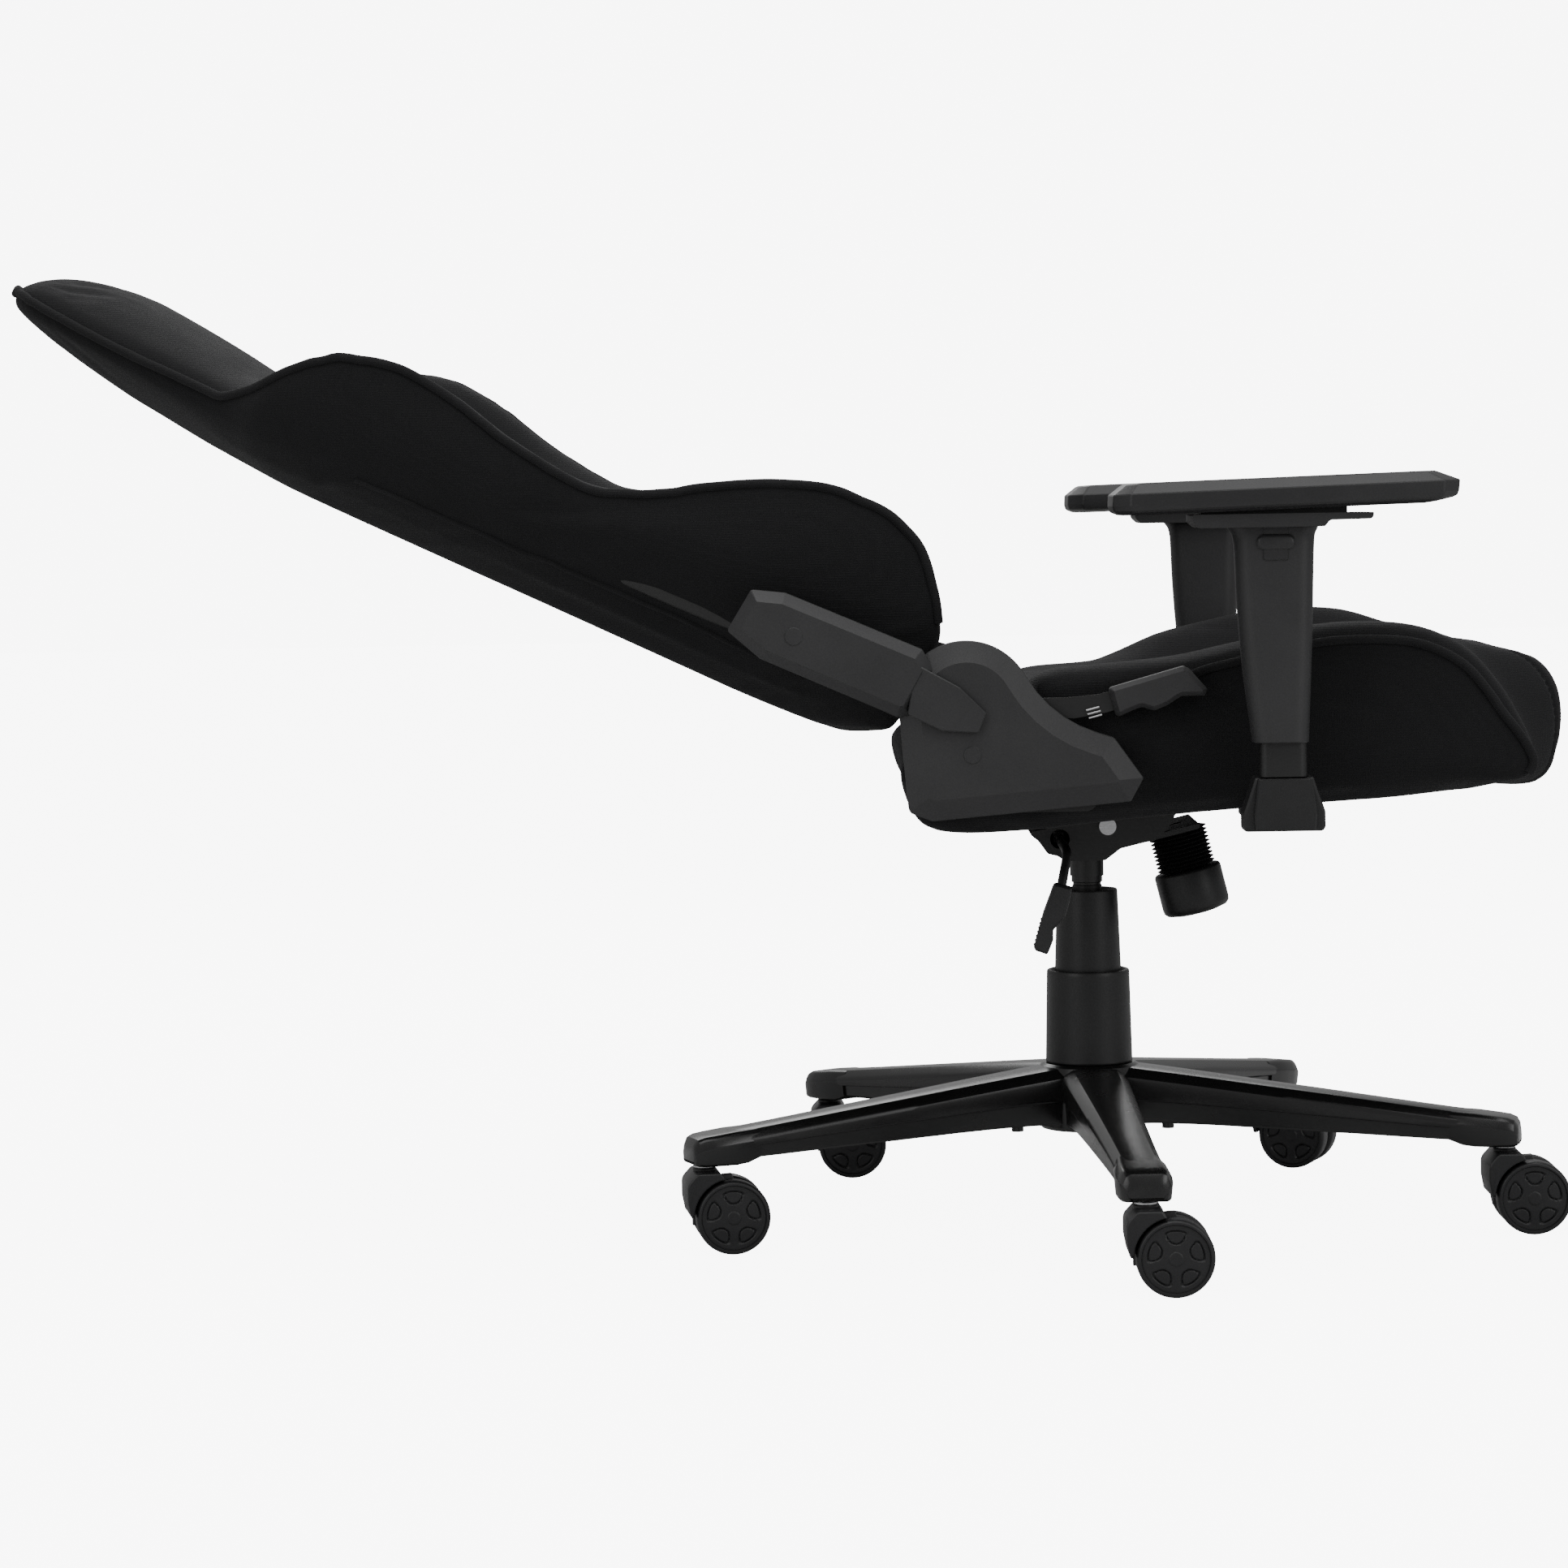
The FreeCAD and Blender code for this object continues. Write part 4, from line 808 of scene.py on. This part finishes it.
def make_side_covers():
    for name, side in SIDES:
        levels = [(272, 0), (284.4, 0), (285, 0.5), (292.2, 15.5), (292.6, 16.2)]
        lower = facets(lower_cover_outline(*LOWER_COVERS[name]), side, levels)
        new_piece(f"seat_hinge_cover_{name}", *lower, COVER, "seat", "cover_plastic",
                  [f"lower_side_cover_{name}"], sharp=12)
        new_piece(f"seat_cover_plug_{name}", *disc_shape(103, 408, side, 291, 293.2, 7), COVER, "seat",
                  "cover_plastic")
        arrow = facets(ARROW, side, [(293.4, 0), (297.6, 0), (298.4, 0.8)])
        new_piece(f"back_hinge_cover_{name}", *merged(upper_cover_shape(side), arrow), COVER, "backrest",
                  "cover_plastic", [f"upper_side_cover_{name}"], sharp=12)
        new_piece(f"back_cover_plug_{name}", *disc_shape(238, 501, side, 298, 301, 7), COVER, "backrest",
                  "cover_plastic")


def make_recline_lever():
    grip = facets(GRIP, -1, [(269, 3), (271.5, 0.4), (272.5, 0), (279.5, 0), (280.5, 0.5), (284, 3.4)])
    new_piece("recline_lever_handle", *grip, COVER, "recline_lever", "cover_plastic",
              ["recline_lever_grip"], sharp=20)
    ridges = [tube([Vector((-278.4, y, z)) * MM, Vector((-278.4, y - 10, z + 2.5)) * MM], 0.8 * MM)
              for y, z in ((15, 440), (14, 437), (13, 434))]
    new_piece("recline_lever_ridges", *merged(*ridges), STEEL_BARE, "recline_lever", "bare_steel")


# ---- arm rests -------------------------------------------------------------------------------

ARM_X = 309
SLEEVE_FRONT = [(415, -151.5), (500, -155), (560, -156.6), (572, -157.4), (578, -160)]
SLEEVE_BACK = [(415, -109), (480, -101), (530, -97.5), (566, -96), (573, -94.5), (578, -91)]
FOOT = [(-110, 389, 2), (-106.5, 378, 8), (-101, 362, 6), (-101, 347, 4), (-164, 347, 4), (-164, 362, 6),
        (-158.5, 378, 8), (-155, 389, 2)]
FOOT_FACE = [(-112, 388, 2), (-109, 360, 2), (-110, 348, 1), (-156, 348, 1), (-157, 360, 2), (-153.5, 388, 2)]
PAD_BOTTOM = [(-268, 598), (-235, 594.5), (-190, 589.6), (-150, 588.8), (-2, 588.8)]
PAD_TOP = [(-268, 619), (-251, 618.8), (-160, 617.8), (-85, 615.6), (-13, 612.4), (-2, 611.4)]
PAD_LEVELS = [
    (0.0, 35, -10, -246, 9), (0.08, 41.5, -5.5, -258.5, 12), (0.14, 43.2, -4, -261.5, 13),
    (0.3, 44, -3, -262.8, 13), (0.64, 44, -3.4, -263.5, 13), (0.68, 43.6, -4, -262.9, 12.8),
    (0.955, 37.6, -13, -248, 9), (1.0, 35.6, -15.8, -245, 8),
]


def upright(x, low_y, high_y, half, radius, z, steps=6):
    """A rounded rectangle at one height."""
    box = [(x - half, low_y, radius), (x + half, low_y, radius), (x + half, high_y, radius),
           (x - half, high_y, radius)]
    return [Vector((p.x, p.y, z)) * MM for p in corners(box, steps=steps)]


def post_shape(x):
    sizes = [(389, 0), (519, 0), (520, 1)]
    return loft([upright(x, -150 + d, -114 - d, 8 - d, 6.5 - d, z) for z, d in sizes])


def sleeve_shape(x):
    front, back = float(smooth(SLEEVE_FRONT, 415)), float(smooth(SLEEVE_BACK, 415))
    rings = [upright(x, front + 1, back - 1, 15, 12, 415)]
    for z in [415.8, 417] + list(np.linspace(421, 560, 24)) + [566, 570, 573, 575, 576.6, 578]:
        rings.append(upright(x, float(smooth(SLEEVE_FRONT, z)), float(smooth(SLEEVE_BACK, z)), 16, 13, z))
    return loft(rings)


def pad_shape(x):
    """The arm pad: arched, bevelled all round its top, undercut below and thinner at its front."""
    rings = []
    for share, half, back, front, chamfer in PAD_LEVELS:
        plan = [(half - chamfer, front), (half, front + chamfer), (half, back - chamfer),
                (half - chamfer, back)]
        plan += [(-a, b) for a, b in plan[::-1]]
        ring = corners([(a, b, 4) for a, b in plan], steps=4)
        heights = [float(smooth(PAD_BOTTOM, p.y)) * (1 - share) + float(smooth(PAD_TOP, p.y)) * share
                   for p in ring]
        rings.append([Vector((x + p.x, p.y, z)) * MM for p, z in zip(ring, heights)])
    return loft(rings)


def make_arm(name, side):
    x = side * ARM_X
    foot = facets(FOOT, side, [(293, 0), (309, 0), (312.5, 0.8), (314, 2.6)])
    face = facets(FOOT_FACE, side, [(312, 0), (317.6, 0.2), (319, 1.4)])
    new_piece(f"arm_foot_{name}", *merged(foot, face), LIFT, "seat", "black_steel", [f"arm_bracket_{name}"],
              sharp=25)
    bar = [(-111, 350, 2), (-111, 361, 2), (-153, 361, 2), (-153, 350, 2)]
    new_piece(f"arm_bar_{name}", *facets(bar, side, [(165, 1), (166, 0), (296, 0)]), STEEL_BLACK, "seat",
              "black_steel")
    new_piece(f"arm_tube_{name}", *post_shape(x), STEEL_BLACK, "seat", "black_steel", [f"arm_post_{name}"])
    new_piece(f"arm_column_{name}", *sleeve_shape(x), SLEEVE, f"arm_sleeve_{name}", "cover_plastic",
              [f"arm_sleeve_{name}"])
    strap = facets([(-117, 585, 1), (-117, 566, 1), (-136, 566, 1), (-136, 585, 1)], side,
                   [(320, 0), (325.3, 0), (325.8, 0.5)])
    new_piece(f"arm_strap_{name}", *strap, SLEEVE, f"arm_sleeve_{name}", "cover_plastic")
    pill = [(-112, 561, 5.9), (-112, 573, 5.9), (-141, 573, 5.9), (-141, 561, 5.9)]
    key = facets(pill, side, [(321, 0), (326, 0), (327.2, 0.9), (327.9, 2.6)])
    tab = facets([(-117, 562, 1), (-117, 553, 2), (-136, 553, 2), (-136, 562, 1)], side,
                 [(320, 0), (325.6, 0), (326.3, 0.7)])
    new_piece(f"arm_key_{name}", *merged(key, tab), PAD, f"arm_button_{name}", "button_plastic",
              [f"arm_button_{name}"])
    new_piece(f"arm_cushion_{name}", *pad_shape(x), PAD, f"arm_pad_{name}", "arm_pad", [f"arm_pad_{name}"],
              sharp=14)


# ---- base star -------------------------------------------------------------------------------

LEG_TOP = [(20, 133.6), (44, 131.2), (180, 115), (318, 98.4), (356, 94.5)]
LEG_BOTTOM = [(20, 82), (60, 85.5), (200, 80.5), (300, 76), (330, 75)]
LEG_HALF = [(20, 28), (60, 26.6), (200, 21.8), (290, 19.8), (330, 19.6)]
BLOCK = [(300, 76, 99.4, 19), (311, 72, 98.6, 20.2), (321, 71, 98, 21.4), (338, 71, 96, 21.7),
         (347, 71, 94.8, 20.8), (352.4, 71.4, 92.8, 18.8), (355, 72.4, 89, 16.2), (356, 74, 84, 13)]
HUB = [(21, 79), (40, 79), (43, 82), (43.5, 126), (41, 131.5), (38, 133.6), (22, 133.9)]


def leg_section(radius, lean=2.2):
    """Half a leg's cross-section: flat crown, bevel, side, and the stepped-in lower channel."""
    top, low = float(smooth(LEG_TOP, radius)), float(smooth(LEG_BOTTOM, radius))
    half = float(smooth(LEG_HALF, radius))
    step = low + (top - low) * 0.42
    side = [(0, top), (half * 0.5, top - 0.3), (half * 0.66, top - 1.1), (half * 0.92, top - 6),
            (half * 0.98, top - 8), (half, top - 10.5), (half - 0.3, step + 1.2), (half - 0.8, step + 0.3),
            (half - lean - 0.6, step - 0.4), (half - lean - 0.8, step - 1.4),
            (half - lean - 1.6, low + 1.6), (half - lean - 3, low), (0, low)]
    return side


def whole_ring(half_section, radius):
    mirrored = [(-a, z) for a, z in half_section[1:-1]][::-1]
    return [Vector((radius, a, z)) * MM for a, z in half_section + mirrored]


def block_ring(radius, low, top, half):
    outline = [(half * 0.93, low, 3), (half, top - 9, 5), (half * 0.8, top, 6), (-half * 0.8, top, 6),
               (-half, top - 9, 5), (-half * 0.93, low, 3)]
    return [Vector((radius, p.x, p.y)) * MM for p in corners(outline, steps=4)]


def make_base():
    leg = loft([whole_ring(leg_section(r), r) for r in np.linspace(20, 322, 60)])
    block = loft([block_ring(*row) for row in BLOCK])
    hub = revolve([(r * MM, z * MM) for r, z in HUB])
    first = math.radians(183.6)
    parts = [hub]
    for i in range(5):
        turn = Matrix.Rotation(first + i * math.tau / 5, 4, "Z")
        parts += [moved(leg, turn), moved(block, turn)]
        stud = revolve([(5 * MM, 79 * MM), (5 * MM, 90 * MM)], 24)
        parts.append(moved(stud, turn @ Matrix.Translation((0.066, 0, 0))))
    new_piece("base_legs", *merged(*parts), BASE, "base", "base_plastic", ["base_star"], sharp=24)


# ---- castors ---------------------------------------------------------------------------------

WHEEL_RADIUS = 30
WHEEL_WIDTH = 19.5
WHEEL_GAP = 5.5
TRAIL = 21
FACE_RADIUS = 25.2
WINDOWS = 5
WEB = [(10, 22), (10, 60), (-22, 63), (-30, 44), (-27, 24)]
COLLAR = [(5, 60), (9.4, 60), (9.4, 68), (8.6, 69.4), (7, 69.4), (7, 72), (5.5, 72)]
COLLAR_RING = [(6.6, 69.3), (8.9, 69.3), (8.9, 70.5), (6.6, 70.5)]


def window_depth(radius, angle):
    """Depth of the wheel face at one point: five rounded windows, each outlined by a groove."""
    sector = math.tau / WINDOWS
    offset = (angle + sector / 2) % sector - sector / 2
    width = 3.0 + (radius - 11) * 0.62
    inside = [radius - 11.2, 21.6 - radius, width - abs(offset) * radius]
    sharp = -1.4 * math.log(sum(math.exp(-value / 1.4) for value in inside))
    groove = 1.3 * math.exp(-((sharp - 0.1) / 0.55) ** 2)
    return groove + 0.5 * ease((sharp + 0.2) / 0.8)


def wheel_shape():
    """One wheel about +Z, with its patterned face at the top."""
    width, segments = WHEEL_WIDTH, 150
    profile = [(4.2, 0), (25, 0), (27, 0.2), (29, 1.2), (29.8, 3), (30, 5), (30, width - 5),
               (29.8, width - 3), (29.1, width - 1.2), (28.2, width - 0.3), (27.2, width),
               (26.4, width - 0.1), (26, width - 0.9), (25.7, width - 1.6), (FACE_RADIUS, width - 1.5)]
    rings = [level_circle(r, h, segments) for r, h in profile]
    for r in [24.9, 24.4] + list(np.arange(23.6, 9.6, -0.42)) + [9, 8, 7, 6.2, 5.7, 5.4, 4.6, 3.4, 2, 0.8]:
        dome = 1.1 * math.sqrt(max(0, 1 - (r / 5.6) ** 2)) if r < 5.6 else 0
        rise = 0.9 * (1 - ease((r - 9) / 14))
        ring = []
        for a in np.linspace(0, math.tau, segments, endpoint=False):
            height = width - 1.5 + rise + dome - window_depth(r, a)
            ring.append(Vector((r * math.cos(a), r * math.sin(a), min(height, width))) * MM)
        rings.append(ring)
    return loft(rings)


def hood_shape():
    """The castor's hood in its own YZ plane, hollowed by the wheels' clearance."""
    clear = WHEEL_RADIUS + 2
    arc = [(-TRAIL + clear * math.cos(a), WHEEL_RADIUS + clear * math.sin(a))
           for a in np.radians(np.linspace(78, 2, 20))]
    outline = [(13.5, 31, 2), (16, 44, 8), (16, 58, 9), (8, 66.6, 5), (-11, 66.6, 2)] + arc
    rings = []
    for x, depth in ((-25, 1.2), (-24.4, 0.3), (-23.6, 0), (23.6, 0), (24.4, 0.3), (25, 1.2)):
        edge = inset([Vector(c[:2]) for c in outline], depth)
        ring = corners([(*p, *c[2:]) for p, c in zip(edge, outline)])
        rings.append([Vector((x, p.x, p.y)) * MM for p in ring])
    web = plate_shape([Vector(p) for p in WEB], 1, -4.5, 4.5)
    return merged(loft(rings), web)


def make_castors():
    wheel, hood = wheel_shape(), hood_shape()
    collar, ring = (revolve([(r * MM, z * MM) for r, z in profile], 40) for profile in (COLLAR, COLLAR_RING))
    lying = Matrix.Translation(Vector((0, -TRAIL, WHEEL_RADIUS)) * MM) @ Matrix.Rotation(math.pi / 2, 4, "Y")
    axle = moved(revolve([(4 * MM, -24 * MM), (4 * MM, 24 * MM)], 24), lying)
    for i in range(1, 6):
        axis = Vector(JOINTS[f"wheel_{i}a_spin"]["axis"])
        stem = Vector(JOINTS[f"castor_{i}_swivel"]["pos_m"])
        place = Matrix.Translation((stem.x, stem.y, 0)) @ Matrix.Rotation(math.atan2(axis.y, axis.x), 4, "Z")
        fork = moved(merged(hood, collar, axle), place)
        new_piece(f"castor_hood_{i}", *fork, WHEEL, f"castor_{i}", "castor_plastic", [f"castor_{i}_fork"],
                  sharp=28)
        new_piece(f"castor_ring_{i}", *moved(ring, place), STEEL_BARE, f"castor_{i}", "bare_steel")
        for letter, side in (("a", -1), ("b", 1)):
            out = Matrix.Rotation(side * math.pi / 2, 4, "Y")
            spot = Matrix.Translation(Vector((side * WHEEL_GAP, -TRAIL, WHEEL_RADIUS)) * MM)
            tilt = Matrix.Rotation(0 if side < 0 else math.pi, 4, "Z")
            new_piece(f"castor_wheel_{i}{letter}", *moved(wheel, place @ spot @ out @ tilt), WHEEL,
                      f"wheel_{i}{letter}", "wheel_nylon", [f"castor_{i}_wheel_{letter}"], sharp=40)


# ---- gas lift and tilt mechanism -------------------------------------------------------------

KNOB_AXIS = Vector(JOINTS["tension_knob"]["axis"]).normalized()
KNOB_TOP = Vector(JOINTS["tension_knob"]["pos_m"])
RIB_COUNT = 10
LEVER_BENDS = [(-44.5, 25, 324), (-80, 23.3, 320.6), (-98, 22.4, 318.8), (-104.5, 22, 316), (-108, 22.8, 310),
               (-114, 26, 296), (-118, 29, 282)]
PADDLE = [(33, 294, 3), (19, 290, 2), (21, 279, 8), (25, 266, 8), (34.6, 256, 3), (34.6, 248, 3),
          (39.5, 236, 2), (50.7, 240, 3), (42, 270.5, 8)]


def shell(profile, segments=96):
    """A closed profile turned about Z: a ring with no caps."""
    rings = [level_circle(r, z, segments) for r, z in profile + profile[:1]]
    return loft(rings, capped=False)


def make_lift():
    lower = [(29.5, 135), (35.6, 134.2), (36, 134.8), (36, 136), (34.4, 207), (34.3, 209.6), (33.7, 210.7),
             (32.6, 211), (31.2, 210.8), (30.6, 209.8), (29.5, 208)]
    new_piece("lift_sleeve_lower", *shell(lower), LIFT, "base", "lift_plastic", ["lift_cover_lower"])
    upper = [(23.8, 136), (27.5, 136), (27.5, 211), (25.2, 276), (25, 277.3), (24.4, 278), (23.4, 278),
             (22.9, 277.2), (22.8, 270), (11.5, 270), (11.5, 268), (23.8, 268)]
    new_piece("lift_sleeve_upper", *shell(upper), LIFT, "mechanism", "lift_plastic", ["lift_cover_upper"])
    neck = [(11.2, 266), (12.2, 266), (12.2, 281), (11.6, 281.6), (11.6, 283.4), (12.8, 284), (12.8, 291),
            (11.2, 291)]
    new_piece("lift_neck_ring", *shell(neck), STEEL_BLACK, "mechanism", "black_steel")


def make_knob():
    place = axis_matrix(KNOB_TOP, -KNOB_AXIS)
    ribs = [(9, 0.4), (20, 0.4)]
    pitch = 33 / RIB_COUNT
    for i in range(RIB_COUNT):
        start = 0.6 + i * pitch
        ribs += [(20.6, start), (24.1, start + pitch * 0.42), (24.4, start + pitch * 0.5),
                 (24.1, start + pitch * 0.58)]
    ribs += [(20.6, 33.8), (9, 34)]
    new_piece("tension_bellows", *moved(shell(ribs), place), RUBBER, "mechanism", "bellows_rubber",
              ["tension_spring"], sharp=60)
    knob = [(0.5, 34.6), (26.4, 34.6), (27.4, 35.4), (28, 37), (28, 64), (27.4, 67.4), (25, 69.8),
            (18, 71.5), (8, 72.4), (0.5, 72.5)]
    turned = revolve([(r * MM, z * MM) for r, z in knob], 96)
    new_piece("tension_handwheel", *moved(turned, place), LIFT, "tension_knob", "cover_plastic",
              ["tension_knob"], sharp=40)


def make_height_lever():
    path = through([Vector(p) * MM for p in LEVER_BENDS], 60)
    new_piece("height_lever_wire", *tube(path, 3.9 * MM), STEEL_BLACK, "height_lever", "black_steel",
              ["height_lever_rod"])
    paddle = facets(PADDLE, -1, [(110, 2.2), (111.5, 0.4), (113, 0), (123, 0), (124.5, 0.5), (126, 2.2)])
    teeth = []
    for k in range(7):
        y, z = 43.4 + k * 0.97, 264 - k * 3.4
        teeth.append(tube([Vector((x, y, z)) * MM for x in (-112, -124)], 1.1 * MM, segments=8))
    new_piece("height_lever_paddle", *merged(paddle, *teeth), COVER, "height_lever", "cover_plastic",
              ["height_lever_grip"], sharp=25)


# ---- everything ------------------------------------------------------------------------------

SLOT_MATERIALS = {
    "base_plastic": BASE, "castor_plastic": WHEEL, "wheel_nylon": WHEEL, "cover_plastic": COVER,
    "black_steel": STEEL_BLACK, "bare_steel": STEEL_BARE, "lift_plastic": LIFT, "bellows_rubber": RUBBER,
    "fabric": FABRIC, "arm_pad": PAD, "button_plastic": PAD,
}


def paint_nodes():
    """Gives every CAD node the procedural material of its slot."""
    slots = {part["node"]: part["material_slot"] for part in frame["record"]["subparts"]}
    slots["lift_cylinder"] = "black_steel"
    for name, node in frame["nodes"].items():
        material = SLOT_MATERIALS[slots[name]]
        if not node.material_slots:
            node.data.materials.append(material)
        for material_slot in node.material_slots:
            material_slot.material = material


paint_nodes()
make_backrest()
make_seat()
make_side_covers()
make_recline_lever()
for arm_name, arm_side in SIDES:
    make_arm(arm_name, arm_side)
make_base()
make_castors()
make_lift()
make_knob()
make_height_lever()
